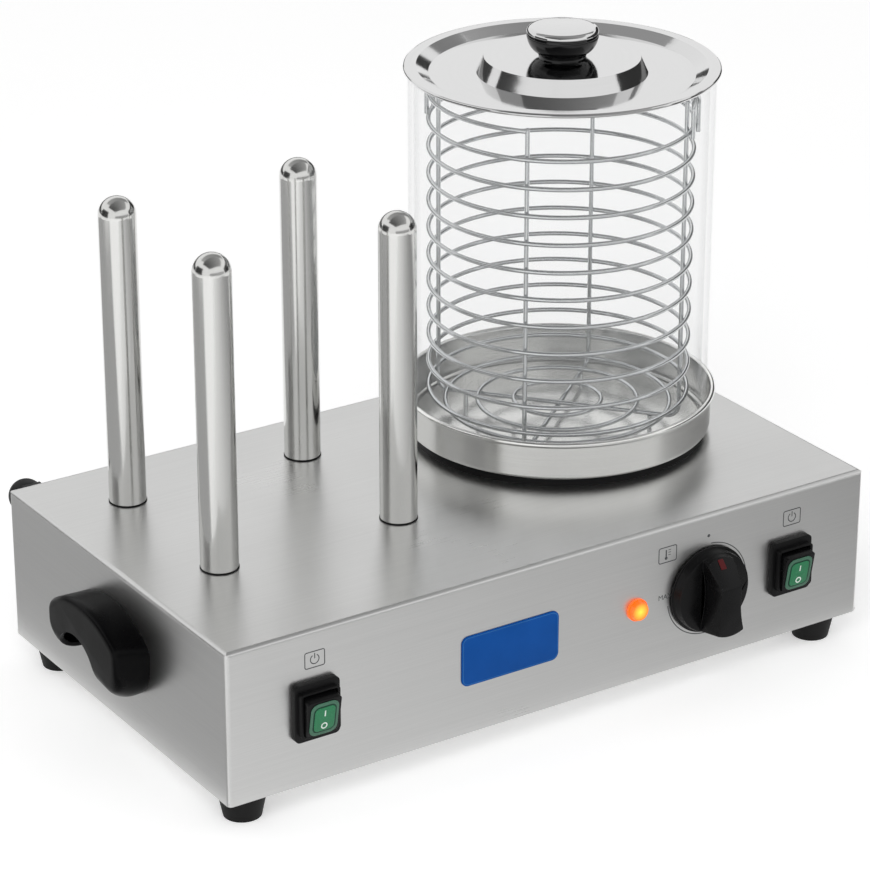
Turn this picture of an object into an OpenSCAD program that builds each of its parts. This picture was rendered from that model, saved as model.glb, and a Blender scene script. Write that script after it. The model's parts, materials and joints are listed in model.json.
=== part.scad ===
// Counter-top hot dog toaster: four heated spikes and a glass steaming
// cylinder on one folded steel housing.
// Origin on the table, in the middle of the whole outline. +X runs to the right
// of the front, -Y is the front with the controls, +Z is up.

/* [Housing] */
// Width of the housing, left to right
body_w = 480; // [450:1:560]
// Depth of the housing, front to back
body_d = 277; // [270:1:320]
// Height of the housing without its feet
body_h = 102.5; // [100:0.5:130]
// Thickness of the folded steel sheet
sheet_t = 1.2; // [1:0.1:1.6]
// Outer radius of the folded edges
bend_r = 3; // [2:0.5:5]
// Width of the inward flange along the bottom edge
lip_w = 27; // [26:1:32]
// Thickness of the base plate
base_t = 1; // [0.8:0.1:1.5]

/* [Feet] */
// Height of a rubber foot
foot_h = 19.5; // [15:0.5:25]
// Diameter of a foot at the base plate
foot_top_d = 32; // [29:1:36]
// Diameter of a foot on the table
foot_bottom_d = 24; // [22:1:28]
// Distance from a foot's centre to the housing's outer faces
foot_inset = 21; // [20:1:22]

/* [Handles] */
// Width of a side handle, front to back
handle_w = 97; // [92:1:110]
// Height of a side handle
handle_h = 49; // [46:1:52]
// How far a handle stands out from the side
handle_out = 23; // [22:0.5:30]
// Wall of the handle moulding
handle_wall = 3.5; // [3:0.25:4.5]
// Height of the handle's lower edge above the housing's bottom edge
handle_z = 36; // [30:1:42]
// Distance of the handle's middle behind the middle of the side
handle_back = 3; // [0:0.5:10]
// Radius of the finger arch in the handle's lower edge
handle_notch_r = 26; // [20:1:28]
// Height of the top of the finger arch above the handle's lower edge
handle_notch_h = 22.5; // [20:0.5:26]

/* [Spikes] */
// Diameter of a heated spike
spike_d = 24; // [20:0.5:28]
// Height of a heated spike above its seal
spike_h = 205; // [150:1:240]
// Distance between the left and right spikes
spike_gap_x = 130.5; // [110:0.5:140]
// Distance between the front and rear spikes
spike_gap_y = 117; // [100:0.5:130]
// Left-right place of the middle of the four spikes
spike_mid_x = -118; // [-125:0.5:-110]
// Front-back place of the middle of the four spikes
spike_mid_y = 24.5; // [0:0.5:30]

/* [Steamer] */
// Left-right place of the steamer's axis
steam_x = 115; // [110:0.5:125]
// Front-back place of the steamer's axis
steam_y = 31; // [10:0.5:31]
// Outer radius of the water pan's wall
pan_r = 102; // [101.5:0.1:104]
// Height of the water pan
pan_h = 27; // [22:0.5:35]
// Thickness of the water pan's sheet
pan_t = 0.9; // [0.7:0.1:1]
// Height of the silicone seal under the water pan
seal_h = 5; // [3:0.5:8]
// Outer radius of the glass cylinder
glass_r = 99.5; // [98:0.1:99.6]
// Wall of the glass cylinder
glass_t = 4; // [3:0.25:4.5]
// Height of the glass cylinder
glass_h = 245; // [235:1:280]

/* [Lid] */
// Thickness of the lid's sheet
lid_t = 1; // [0.8:0.1:1.5]
// Depth of the sunk floor below the rim
lid_dish = 4.7; // [3:0.1:6]
// Height of the raised middle above the rim
lid_rise = 5.7; // [4:0.1:8]
// Radius of the raised middle's flat top
lid_disc_r = 50.6; // [40:0.1:55]
// Outer radius of the sunk floor
lid_floor_r = 86; // [80:0.1:88]
// Height of the lid knob with its cap
knob_top_h = 19.4; // [18:0.1:24]
// Widest radius of the lid knob
knob_head_r = 23.3; // [22:0.1:26]
// Radius of the lid knob's neck
knob_neck_r = 16.2; // [14:0.1:18]

/* [Basket] */
// Radius of the basket's rings at the middle of the wire
basket_r = 86; // [80:0.5:88]
// Diameter of the basket's wire
wire_d = 3; // [2.5:0.1:3.5]
// Number of full rings in the basket's wall
ring_count = 11; // [8:1:11]
// Height from one ring to the next
ring_pitch = 18.6; // [16:0.1:18.6]
// Free height between the pan's floor and the basket's floor
basket_lift = 6; // [5:0.5:8]

/* [Controls] */
// Height of the row of controls above the housing's bottom edge
control_z = 50.5; // [48:0.5:60]
// Distance from the middle to either switch
switch_x = 180; // [178:0.5:190]
// Left-right place of the thermostat knob
dial_x = 114.3; // [108:0.1:120]
// Radius of the thermostat knob's skirt
dial_r = 29.5; // [28:0.5:31]
// How far the thermostat knob stands out from the front
dial_out = 26; // [24:0.5:30]
// Width of the thermostat knob's grip
grip_w = 20; // [18:0.5:24]
// Left-right place of the pilot lamp
pilot_x = 58.6; // [50:0.1:66]
// Radius of the pilot lamp's lens
pilot_r = 7.5; // [7.3:0.1:9]
// Width of a switch's flange
switch_w = 31.5; // [31:0.5:36]
// Height of a switch's flange
switch_h = 38; // [37.5:0.5:44]
// Distance of the cable gland's axis from the housing's left face
gland_inset = 17.5; // [16:0.5:30]
// Depth of the cable gland's axis below the bend of the housing's top
gland_drop = 10; // [10:0.5:27]

/* [Hidden] */
$fn = 64;

// Shared clearances
overrun = 1;
fit_gap = 0.05;
hole_gap = 0.3;
rest_gap = 0.3;
top_z = foot_h + body_h;

// Fasteners
foot_screw_r = 2.5;
foot_screw_head_r = 4.6;
foot_screw_head_h = 3;
foot_sink_h = 9;
foot_nut_w = 8;
foot_nut_h = 4;
base_screw_r = 1.75;
base_screw_head_r = 3.4;
base_screw_head_h = 2;
base_screw_tail = 5;
base_screw_x = 110;
handle_screw_r = 2;
handle_screw_head_r = 3.8;
handle_screw_head_h = 2.6;
handle_screw_depth = 12;

// Base plate
plate_gap = 0.4;
vent_w = 4;
vent_l = 60;
vent_pitch = 12;
vent_count = 7;

// Handle
handle_arch_r = 56;
handle_low_r = 13;
handle_flare = 4.5;
handle_draw = 4.5;
handle_lift = 5.5;
handle_slice_t = 0.5;
handle_edge_r = 3.5;
handle_notch_shift = 6;
handle_boss_r = 5.5;
handle_boss_share = 0.34;
handle_boss_high_share = 0.42;

// Spike
spike_stud_r = 8;
spike_stud_l = 17;
spike_bore_r = 5;
spike_tip_wall = 22;
spike_seal_t = 0.8;
spike_seal_w = 4.3;
spike_washer_t = 1.5;
spike_washer_r = 15;
spike_nut_w = 24;
spike_nut_h = 8;
spike_heater_tail = 6;
spike_lead_r = 1;
spike_lead_l = 14;
spike_lead_gap = 4;

// Water pan and what heats it
pan_corner_r = 2.5;
pan_bead_r = 1.9;
pan_stud_r = 4;
pan_stud_l = 30;
seal_inset = 3;
seal_w = 14;
opening_r = 80;
heat_plate_t = 6;
heat_plate_gap = 2;
element_r = 52;
element_tube_r = 4.2;
element_open_angle = 30;
element_leg_l = 26;
element_pin_r = 1.5;
element_pin_l = 9;
clamp_l = 124;
clamp_w = 20;
clamp_t = 3;
clamp_nut_w = 13;
clamp_nut_h = 6.5;
limit_r = 8;
limit_h = 10;
limit_flange_r = 12;
limit_flange_t = 1.5;
limit_offset = 30;

// Lid
lid_bead_r = 1.3;
lid_roll_step = 22.5;
lid_wall = 0.7;
lid_slope = 8;
lid_foot_run = 4.7;
knob_cap_r = 21;
knob_cap_t = 1.2;
knob_roll_r = 4.5;
knob_neck_h = 7;
knob_screw_r = 2.5;
knob_screw_l = 13;
knob_screw_head_r = 5;
knob_screw_head_h = 3;

// Basket
basket_low_ring_rise = 24.4;
basket_bend_r = 8;
basket_open_start = 220;
basket_open_angle = 90;
basket_leg_angle = 90;
basket_floor_ring_shares = [0.34, 0.62, 0.87];
basket_foot_share = 0.74;
ear_w = 18;
ear_rise = 15.5;
ear_angle = 130;

// Thermostat
dial_gap = 1;
dial_skirt_h = 7;
dial_skirt_lip = 1.2;
grip_inset = 6;
grip_taper = 4.5;
grip_waist = 15;
grip_scoop_r = 80;
grip_slope_run = 13.5;
grip_slope_angle = 42;
marker_w = 3.5;
marker_h = 10.5;
marker_t = 0.4;
marker_start = 10;
stat_w = 44;
stat_h = 36;
stat_depth = 27;
stat_bush_r = 5;
stat_bush_l = 1;
shaft_r = 3;
shaft_in = 18;
shaft_out = 17;
stat_screw_r = 2;
stat_screw_head_r = 3.6;
stat_screw_head_h = 1.4;
stat_screw_depth = 8;
stat_screw_gap = 28;
bulb_r = 3;
bulb_l = 60;
bulb_offset = 27;
capillary_r = 1;
capillary_lead = 4;
capillary_back = 13;
capillary_rise = 14;

// Pilot lamp
pilot_flange_t = 1.5;
pilot_dome_h = 3;
pilot_body_r = 5.5;
pilot_body_l = 24;
pilot_pin_w = 2.8;
pilot_pin_t = 0.6;
pilot_pin_l = 8;
pilot_pin_gap = 5;

// Switches
switch_flange_t = 4;
switch_collar_h = 8;
switch_collar_side = 1.8;
switch_collar_end = 1.3;
switch_collar_r = 2.5;
switch_corner_r = 3.5;
cutout_w = 23.9;
cutout_h = 27;
cutout_corner_r = 1;
sleeve_wall = 1.2;
sleeve_l = 3;
rocker_side_gap = 0.35;
rocker_h = 24.5;
rocker_pivot = 4;
rocker_floor = 3.5;
frame_web_t = 1;
rocker_out = 11.3;
rocker_tilt = 10;
rocker_corner_r = 2;
lens_side = 1.8;
lens_end = 1.4;
lens_corner_r = 4.5;
lens_t = 0.8;
rocker_pin_r = 1.5;
rocker_pin_l = 1;
switch_body_l = 20;
spade_w = 6.3;
spade_t = 0.8;
spade_l = 9;
spade_gap_x = 11;
spade_gap_z = 12;

// Terminal block and earth
block_l = 44;
block_w = 20;
block_h = 19;
block_inset = 90;
block_back = 54.5;
block_bore_r = 3.5;
block_pitch = 12;
earth_inset = 35;
earth_back = 58.5;
earth_r = 2.5;
earth_l = 16;
earth_nut_w = 8;
earth_nut_h = 4;
earth_head_r = 4.6;
earth_head_h = 3;

// Cable gland
gland_thread_r = 8;
gland_flange_w = 23;
gland_flange_t = 4;
gland_thread_l = 13;
gland_neck_r = 8.4;
gland_neck_l = 12;
gland_bore_r = 5.4;
gland_cap_r = 11.5;
gland_cap_straight = 7;
gland_mouth_r = 6.4;
gland_seal_bore_r = 3.9;
gland_nut_w = 19;
gland_nut_h = 5;

// Places that follow from the sizes above
front_reach = dial_out;
rear_reach = gland_flange_t + gland_cap_straight
    + sqrt(pow(gland_cap_r, 2) - pow(gland_mouth_r, 2));
pan_floor_z = seal_h + pan_t;
glass_bottom_z = pan_floor_z + rest_gap;
lid_z = glass_bottom_z + glass_h + rest_gap + lid_t;
lid_r = glass_r + rest_gap + 2 * lid_bead_r;
basket_leg_r = basket_r - wire_d - fit_gap;
basket_floor_z = pan_floor_z + basket_lift + wire_d / 2;
basket_cross_z = basket_floor_z + wire_d + fit_gap;
basket_disc_z = basket_cross_z + wire_d + fit_gap;
first_ring_z = pan_floor_z + basket_low_ring_rise;
top_ring_z = first_ring_z + ring_count * ring_pitch;
element_z = seal_h - heat_plate_t - element_tube_r - fit_gap;
clamp_z = element_z - element_tube_r - fit_gap - clamp_t;
handle_boss_x = handle_w * handle_boss_share;
handle_boss_y = handle_h * handle_boss_high_share;
handle_notch_y = handle_notch_h - handle_notch_r;
foot_x = body_w / 2 - foot_inset;
foot_y = body_d / 2 - foot_inset;
gland_x = gland_inset - body_w / 2;
gland_z = body_h - bend_r - gland_drop;
rocker_w = cutout_w - 2 * rocker_side_gap;
block_x = block_inset - body_w / 2;
block_y = body_d / 2 - block_back;
earth_x = earth_inset - body_w / 2;
earth_y = body_d / 2 - earth_back;

// Centres the whole outline on the origin, front to back
module placed() {
    translate([0, (front_reach - rear_reach) / 2, 0]) children();
}

// Local Z points out of the front face, local Y up
module on_front(x, z) {
    placed() translate([x, -body_d / 2, foot_h + z]) rotate([90, 0, 0]) children();
}

// Local Z points out of the rear face, local Y down
module on_rear(x, z) {
    placed() translate([x, body_d / 2, foot_h + z]) rotate([-90, 0, 0]) children();
}

// Local Z points out of the side face (side is -1 left or 1 right), local Y up
module on_side(side, z) {
    placed() translate([side * body_w / 2, 0, foot_h + z])
        rotate([90, 0, side * 90]) children();
}

// Local origin on the side face, at the middle of the handle's lower edge
module on_handle(side) {
    on_side(side, handle_z) translate([side * handle_back, 0, 0]) children();
}

// Local origin on the front face, behind the middle of a rocker
module on_switch(side) {
    on_front(side * switch_x, control_z) children();
}

// Local origin on the housing's top, on the steamer's axis
module on_steamer() {
    placed() translate([steam_x, steam_y, top_z]) children();
}

module at_spike(side, row) {
    placed() translate([spike_mid_x + side * spike_gap_x / 2,
        spike_mid_y + row * spike_gap_y / 2, top_z]) children();
}

module at_spikes() {
    for (side = [-1, 1], row = [-1, 1]) at_spike(side, row) children();
}

module at_feet() {
    for (side = [-1, 1], row = [-1, 1])
        placed() translate([side * foot_x, row * foot_y, 0]) children();
}

module at_base_screws() {
    for (side = [-1, 1], row = [-1, 1])
        placed() translate([side * base_screw_x,
            row * (body_d / 2 - foot_inset / 2), foot_h]) children();
}

// Flat rectangle with round corners, centred
module round_rect(w, h, r) {
    square([w - 2 * r, h], center = true);
    square([w, h - 2 * r], center = true);
    for (x = [-1, 1], y = [-1, 1])
        translate([x * (w / 2 - r), y * (h / 2 - r)]) circle(r);
}

module round_plate(w, h, r, t) {
    linear_extrude(t) round_rect(w, h, r);
}

module ring(r_out, r_in, h) {
    difference() {
        cylinder(h = h, r = r_out);
        translate([0, 0, -overrun]) cylinder(h = h + 2 * overrun, r = r_in);
    }
}

// Hexagon nut with its bore, standing on its face
module hex_nut(w, h, bore_r) {
    difference() {
        cylinder(h = h, r = w / sqrt(3), $fn = 6);
        translate([0, 0, -overrun]) cylinder(h = h + 2 * overrun, r = bore_r);
    }
}

// Screw with its head on top of z = 0 and its shank below
module screw(r, l, head_r, head_h) {
    translate([0, 0, -l]) cylinder(h = l, r = r);
    cylinder(h = head_h, r = head_r);
}

// Closed block with round upright corners and round top edges
module folded_block(w, d, h, r) {
    intersection() {
        linear_extrude(h) round_rect(w, d, r);
        rotate([90, 0, 0]) linear_extrude(d, center = true) round_rect(w, 2 * h, r);
        rotate([90, 0, 90]) linear_extrude(w, center = true) round_rect(d, 2 * h, r);
    }
}

module wire_ring(r, wire_r) {
    rotate_extrude($fn = 120) translate([r, 0]) circle(wire_r, $fn = 24);
}

module folded_cover() {
    difference() {
        placed() translate([0, 0, foot_h]) folded_block(body_w, body_d, body_h, bend_r);
        placed() translate([0, 0, foot_h - overrun])
            folded_block(body_w - 2 * sheet_t, body_d - 2 * sheet_t,
                body_h - sheet_t + overrun, bend_r - sheet_t);
    }
}

module bottom_lips() {
    placed() translate([0, 0, foot_h + base_t]) linear_extrude(sheet_t) difference() {
        square([body_w - sheet_t, body_d - sheet_t], center = true);
        square([body_w - 2 * lip_w, body_d - 2 * lip_w], center = true);
    }
}

module housing_shell() color("silver") {
    difference() {
        union() {
            folded_cover();
            bottom_lips();
        }
        at_spikes() translate([0, 0, -sheet_t - overrun])
            cylinder(h = sheet_t + 2 * overrun, r = spike_stud_r + hole_gap);
        on_steamer() translate([0, 0, -sheet_t - overrun])
            cylinder(h = sheet_t + 2 * overrun, r = opening_r);
        for (side = [-1, 1]) on_switch(side)
            translate([0, 0, -sheet_t - overrun])
                round_plate(cutout_w, cutout_h, cutout_corner_r, sheet_t + 2 * overrun);
        on_front(pilot_x, control_z) translate([0, 0, -sheet_t - overrun])
            cylinder(h = sheet_t + 2 * overrun, r = pilot_body_r + hole_gap);
        on_front(dial_x, control_z) translate([0, 0, -sheet_t - overrun])
            cylinder(h = sheet_t + 2 * overrun, r = stat_bush_r + hole_gap);
        for (side = [-1, 1]) on_front(dial_x + side * stat_screw_gap / 2, control_z)
            translate([0, 0, -sheet_t - overrun])
                cylinder(h = sheet_t + 2 * overrun, r = stat_screw_r + hole_gap);
        on_rear(gland_x, gland_z) translate([0, 0, -sheet_t - overrun])
            cylinder(h = sheet_t + 2 * overrun, r = gland_thread_r + hole_gap);
        for (side = [-1, 1], end = [-1, 1]) on_handle(side)
            translate([end * handle_boss_x, handle_boss_y, -sheet_t - overrun])
                cylinder(h = sheet_t + 2 * overrun, r = handle_screw_r + hole_gap);
        at_feet() translate([0, 0, foot_h])
            cylinder(h = base_t + sheet_t + overrun, r = foot_screw_r + hole_gap);
        at_base_screws() cylinder(h = base_t + sheet_t + overrun,
            r = base_screw_r + fit_gap);
    }
}

module vent_field() {
    for (n = [0 : vent_count - 1])
        translate([(n - (vent_count - 1) / 2) * vent_pitch, 0]) {
            square([vent_w, vent_l - vent_w], center = true);
            for (end = [-1, 1]) translate([0, end * (vent_l - vent_w) / 2])
                circle(vent_w / 2);
        }
}

module base_plate() color("gainsboro") {
    difference() {
        placed() translate([0, 0, foot_h]) linear_extrude(base_t) difference() {
            round_rect(body_w - 2 * sheet_t - 2 * plate_gap,
                body_d - 2 * sheet_t - 2 * plate_gap, bend_r);
            translate([spike_mid_x, 0]) vent_field();
            translate([steam_x, 0]) vent_field();
        }
        at_feet() translate([0, 0, foot_h - overrun])
            cylinder(h = base_t + 2 * overrun, r = foot_screw_r + hole_gap);
        at_base_screws() translate([0, 0, -overrun])
            cylinder(h = base_t + 2 * overrun, r = base_screw_r + hole_gap);
        placed() translate([earth_x, earth_y, foot_h - overrun])
            cylinder(h = base_t + 2 * overrun, r = earth_r + fit_gap);
    }
}

module base_screws() color("dimgray") {
    at_base_screws() rotate([180, 0, 0])
        screw(base_screw_r, base_screw_tail, base_screw_head_r, base_screw_head_h);
}

module foot(side, row) {
    color("#1c1c1c") placed() translate([side * foot_x, row * foot_y, 0]) difference() {
        cylinder(h = foot_h, d1 = foot_bottom_d, d2 = foot_top_d);
        translate([0, 0, -overrun]) cylinder(h = foot_h + 2 * overrun,
            r = foot_screw_r + hole_gap);
        translate([0, 0, -overrun]) cylinder(h = foot_sink_h + overrun,
            r = foot_screw_head_r + hole_gap);
    }
}

module foot_front_left() foot(-1, -1);
module foot_front_right() foot(1, -1);
module foot_rear_left() foot(-1, 1);
module foot_rear_right() foot(1, 1);

module foot_screws() color("silver") {
    at_feet() translate([0, 0, foot_sink_h]) rotate([180, 0, 0])
        screw(foot_screw_r, foot_h - foot_sink_h + base_t + sheet_t + foot_nut_h,
            foot_screw_head_r, foot_screw_head_h);
}

module foot_nuts() color("silver") {
    at_feet() translate([0, 0, foot_h + base_t + sheet_t])
        hex_nut(foot_nut_w, foot_nut_h, foot_screw_r + fit_gap);
}

// Outline of the handle, drawn in by inset; share is 0 at the side face, 1 at the outer face
module handle_outline(inset, share) {
    draw = inset + handle_draw * share;
    intersection() {
        translate([0, handle_h - handle_flare * (1 - share) - handle_arch_r])
            circle(handle_arch_r - inset, $fn = 96);
        translate([draw - handle_w / 2, handle_low_r])
            square([handle_w - 2 * draw, handle_h]);
    }
    for (end = [-1, 1])
        translate([end * (handle_w / 2 - handle_draw * share - handle_low_r),
            handle_low_r + handle_lift * share]) circle(handle_low_r - inset, $fn = 32);
}

module handle_slice(inset, share, z) {
    translate([0, 0, z]) linear_extrude(handle_slice_t) handle_outline(inset, share);
}

module handle_body() {
    hull() {
        handle_slice(0, 0, 0);
        for (turn = [0 : 30 : 90])
            handle_slice(handle_edge_r * (1 - cos(turn)), 1,
                handle_out - handle_edge_r * (1 - sin(turn)) - handle_slice_t);
    }
}

module handle_cavity() {
    hull() {
        handle_slice(handle_wall, 0, -overrun);
        handle_slice(handle_wall, 1, handle_out - handle_wall - handle_edge_r);
        handle_slice(handle_wall + handle_edge_r / 2, 1,
            handle_out - handle_wall - handle_slice_t);
    }
}

module handle(side) {
    color("#202020") on_handle(side) difference() {
        union() {
            difference() {
                handle_body();
                handle_cavity();
            }
            for (end = [-1, 1]) translate([end * handle_boss_x, handle_boss_y, 0])
                cylinder(h = handle_out - handle_wall, r = handle_boss_r);
        }
        translate([side * handle_notch_shift, handle_notch_y, -overrun])
            cylinder(h = handle_out + 2 * overrun, r = handle_notch_r, $fn = 96);
        for (end = [-1, 1]) translate([end * handle_boss_x, handle_boss_y, -overrun])
            cylinder(h = handle_screw_depth + 2 * overrun, r = handle_screw_r + fit_gap);
    }
}

module handle_left() handle(-1);
module handle_right() handle(1);

module handle_screws() color("silver") {
    for (side = [-1, 1], end = [-1, 1]) on_handle(side)
        translate([end * handle_boss_x, handle_boss_y, -sheet_t]) rotate([180, 0, 0])
            screw(handle_screw_r, handle_screw_depth + sheet_t,
                handle_screw_head_r, handle_screw_head_h);
}

module spike(side, row) {
    color("lightgray") at_spike(side, row) difference() {
        union() {
            translate([0, 0, spike_seal_t]) cylinder(h = spike_h - spike_d / 2, d = spike_d);
            translate([0, 0, spike_seal_t + spike_h - spike_d / 2]) sphere(d = spike_d);
            translate([0, 0, -spike_stud_l]) cylinder(h = spike_stud_l + spike_seal_t,
                r = spike_stud_r);
        }
        translate([0, 0, -spike_stud_l - overrun])
            cylinder(h = spike_stud_l + spike_h - spike_tip_wall + overrun, r = spike_bore_r);
    }
}

module spike_front_left() spike(-1, -1);
module spike_front_right() spike(1, -1);
module spike_rear_left() spike(-1, 1);
module spike_rear_right() spike(1, 1);

module spike_seals() color("#181818") {
    at_spikes() ring(spike_stud_r + spike_seal_w, spike_stud_r + hole_gap, spike_seal_t);
}

module spike_washers() color("silver") {
    at_spikes() translate([0, 0, -sheet_t - spike_washer_t])
        ring(spike_washer_r, spike_stud_r + hole_gap, spike_washer_t);
}

module spike_nuts() color("darkgray") {
    at_spikes() translate([0, 0, -sheet_t - spike_washer_t - spike_nut_h])
        hex_nut(spike_nut_w, spike_nut_h, spike_stud_r + fit_gap);
}

module spike_heaters() color("slategray") {
    at_spikes() {
        translate([0, 0, -spike_stud_l - spike_heater_tail])
            cylinder(h = spike_heater_tail + spike_stud_l + spike_h - spike_tip_wall
                - overrun, r = spike_bore_r - fit_gap);
        for (side = [-1, 1])
            translate([side * spike_lead_gap / 2, 0,
                -spike_stud_l - spike_heater_tail - spike_lead_l])
                cylinder(h = spike_lead_l + overrun, r = spike_lead_r);
    }
}

// Half section of an open bowl, its outer corner rounded
module bowl_section(r, h, corner_r) {
    square([r - corner_r, h]);
    translate([0, corner_r]) square([r, h - corner_r]);
    translate([r - corner_r, corner_r]) circle(corner_r);
}

module water_pan() color("lightsteelblue") {
    on_steamer() {
        translate([0, 0, seal_h]) rotate_extrude($fn = 160) {
            difference() {
                intersection() {
                    bowl_section(pan_r, pan_h - pan_bead_r, pan_corner_r);
                    square([pan_r, pan_h]);
                }
                translate([0, pan_t])
                    bowl_section(pan_r - pan_t, pan_h, pan_corner_r - pan_t);
            }
            translate([pan_r - pan_t + pan_bead_r, pan_h - pan_bead_r])
                circle(pan_bead_r);
        }
        translate([0, 0, seal_h - pan_stud_l]) cylinder(h = pan_stud_l + pan_t / 2,
            r = pan_stud_r);
    }
}

module pan_seal() color("#101010") {
    on_steamer() ring(pan_r - seal_inset, pan_r - seal_inset - seal_w, seal_h);
}

module heat_plate() color("gray") {
    on_steamer() translate([0, 0, seal_h - heat_plate_t])
        ring(opening_r - heat_plate_gap, pan_stud_r + hole_gap, heat_plate_t);
}

module pan_heater() color("dimgray") {
    on_steamer() translate([0, 0, element_z]) {
        rotate([0, 0, element_open_angle / 2])
            rotate_extrude(angle = 360 - element_open_angle, $fn = 96)
                translate([element_r, 0]) circle(element_tube_r, $fn = 24);
        for (side = [-1, 1]) rotate([0, 0, side * element_open_angle / 2])
            translate([element_r, 0, 0]) {
                sphere(element_tube_r);
                translate([0, 0, -element_leg_l])
                    cylinder(h = element_leg_l, r = element_tube_r);
                translate([0, 0, -element_leg_l - element_pin_l])
                    cylinder(h = element_pin_l + overrun, r = element_pin_r);
            }
    }
}

module clamp_bar() color("silver") {
    on_steamer() translate([0, 0, clamp_z]) difference() {
        translate([-clamp_w / 2, -clamp_l / 2, 0]) cube([clamp_w, clamp_l, clamp_t]);
        translate([0, 0, -overrun]) cylinder(h = clamp_t + 2 * overrun,
            r = pan_stud_r + hole_gap);
    }
}

module clamp_nut() color("silver") {
    on_steamer() translate([0, 0, clamp_z - clamp_nut_h])
        hex_nut(clamp_nut_w, clamp_nut_h, pan_stud_r + fit_gap);
}

module limit_thermostat() color("#c9b48a") {
    on_steamer() translate([limit_offset, 0, seal_h - heat_plate_t - limit_h]) {
        cylinder(h = limit_h, r = limit_r);
        translate([0, 0, limit_h - limit_flange_t])
            cylinder(h = limit_flange_t, r = limit_flange_r);
    }
}

module glass_cylinder() color("aliceblue", 0.35) {
    on_steamer() translate([0, 0, glass_bottom_z]) rotate_extrude($fn = 160)
        translate([glass_r - glass_t, 0]) square([glass_t, glass_h]);
}

// Upper outline of the lid's sheet, from its middle to the start of its rim
lid_path = [[0, lid_rise], [lid_disc_r, lid_rise],
    [lid_disc_r + lid_foot_run, -lid_dish], [lid_floor_r, -lid_dish],
    [lid_floor_r + lid_slope, 0]];

// Rolled rim of the lid, from its top round to its inner side
lid_roll = [for (turn = [90 : -lid_roll_step : -180])
    [lid_r - lid_bead_r + lid_bead_r * cos(turn), lid_bead_r * (sin(turn) - 1)]];

// Lower outline of the lid's sheet, from its rim back to its middle
lid_under = [for (n = [len(lid_path) - 1 : -1 : 0])
    lid_path[n] - [lid_path[n][0] > 0 && n < 3 ? lid_wall : 0, lid_t]];

module lid_plate() color("gainsboro") {
    on_steamer() translate([0, 0, lid_z]) difference() {
        rotate_extrude($fn = 160) polygon(concat(lid_path, lid_roll,
            [[lid_r - 2 * lid_bead_r, -lid_t]], lid_under));
        translate([0, 0, lid_rise - lid_t - overrun])
            cylinder(h = lid_t + 2 * overrun, r = knob_screw_r + hole_gap);
    }
}

module lid_knob() color("#151515") {
    on_steamer() translate([0, 0, lid_z + lid_rise]) difference() {
        rotate_extrude($fn = 96) {
            square([knob_neck_r, knob_neck_h + knob_roll_r]);
            translate([0, knob_neck_h]) square([knob_head_r - knob_roll_r,
                knob_top_h - knob_cap_t - knob_neck_h]);
            intersection() {
                translate([knob_head_r - knob_roll_r, knob_neck_h + knob_roll_r])
                    circle(knob_roll_r);
                square([knob_head_r, knob_top_h - knob_cap_t]);
            }
            translate([0, knob_neck_h + knob_roll_r]) polygon([[0, 0],
                [knob_head_r, 0],
                [knob_cap_r, knob_top_h - knob_cap_t - knob_neck_h - knob_roll_r],
                [0, knob_top_h - knob_cap_t - knob_neck_h - knob_roll_r]]);
        }
        translate([0, 0, -overrun])
            cylinder(h = knob_screw_l + overrun, r = knob_screw_r + fit_gap);
    }
}

module lid_knob_cap() color("silver") {
    on_steamer() translate([0, 0, lid_z + lid_rise + knob_top_h - knob_cap_t])
        cylinder(h = knob_cap_t, r = knob_cap_r, $fn = 96);
}

module lid_knob_screw() color("silver") {
    on_steamer() translate([0, 0, lid_z + lid_rise - lid_t]) rotate([180, 0, 0])
        screw(knob_screw_r, knob_screw_l, knob_screw_head_r, knob_screw_head_h);
}

module basket_rings() color("#d8dadc") {
    on_steamer() {
        for (n = [0 : ring_count - 1]) translate([0, 0, first_ring_z + n * ring_pitch])
            wire_ring(basket_r, wire_d / 2);
        translate([0, 0, top_ring_z]) rotate([0, 0, basket_open_start + basket_open_angle])
            rotate_extrude(angle = 360 - basket_open_angle, $fn = 120)
                translate([basket_r, 0]) circle(wire_d / 2, $fn = 24);
    }
}

// Wire that runs down one side, across the floor and up the other side
module u_wire(floor_z) {
    for (side = [0, 180]) rotate([0, 0, side]) {
        translate([basket_leg_r, 0, floor_z + basket_bend_r])
            cylinder(h = top_ring_z - floor_z - basket_bend_r, r = wire_d / 2, $fn = 24);
        translate([basket_leg_r, 0, top_ring_z]) sphere(wire_d / 2, $fn = 24);
        translate([basket_leg_r - basket_bend_r, 0, floor_z + basket_bend_r])
            rotate([90, 0, 0]) rotate([0, 0, -90]) rotate_extrude(angle = 90, $fn = 48)
                translate([basket_bend_r, 0]) circle(wire_d / 2, $fn = 24);
        translate([0, 0, floor_z]) rotate([0, 90, 0])
            cylinder(h = basket_leg_r - basket_bend_r, r = wire_d / 2, $fn = 24);
    }
}

module basket_uprights() color("#c8cacc") {
    on_steamer() rotate([0, 0, basket_open_start]) {
        u_wire(basket_floor_z);
        rotate([0, 0, basket_leg_angle]) u_wire(basket_cross_z);
    }
}

module basket_floor_rings() color("#c8cacc") {
    on_steamer() for (share = basket_floor_ring_shares)
        translate([0, 0, basket_disc_z]) wire_ring(basket_r * share, wire_d / 2);
}

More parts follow.
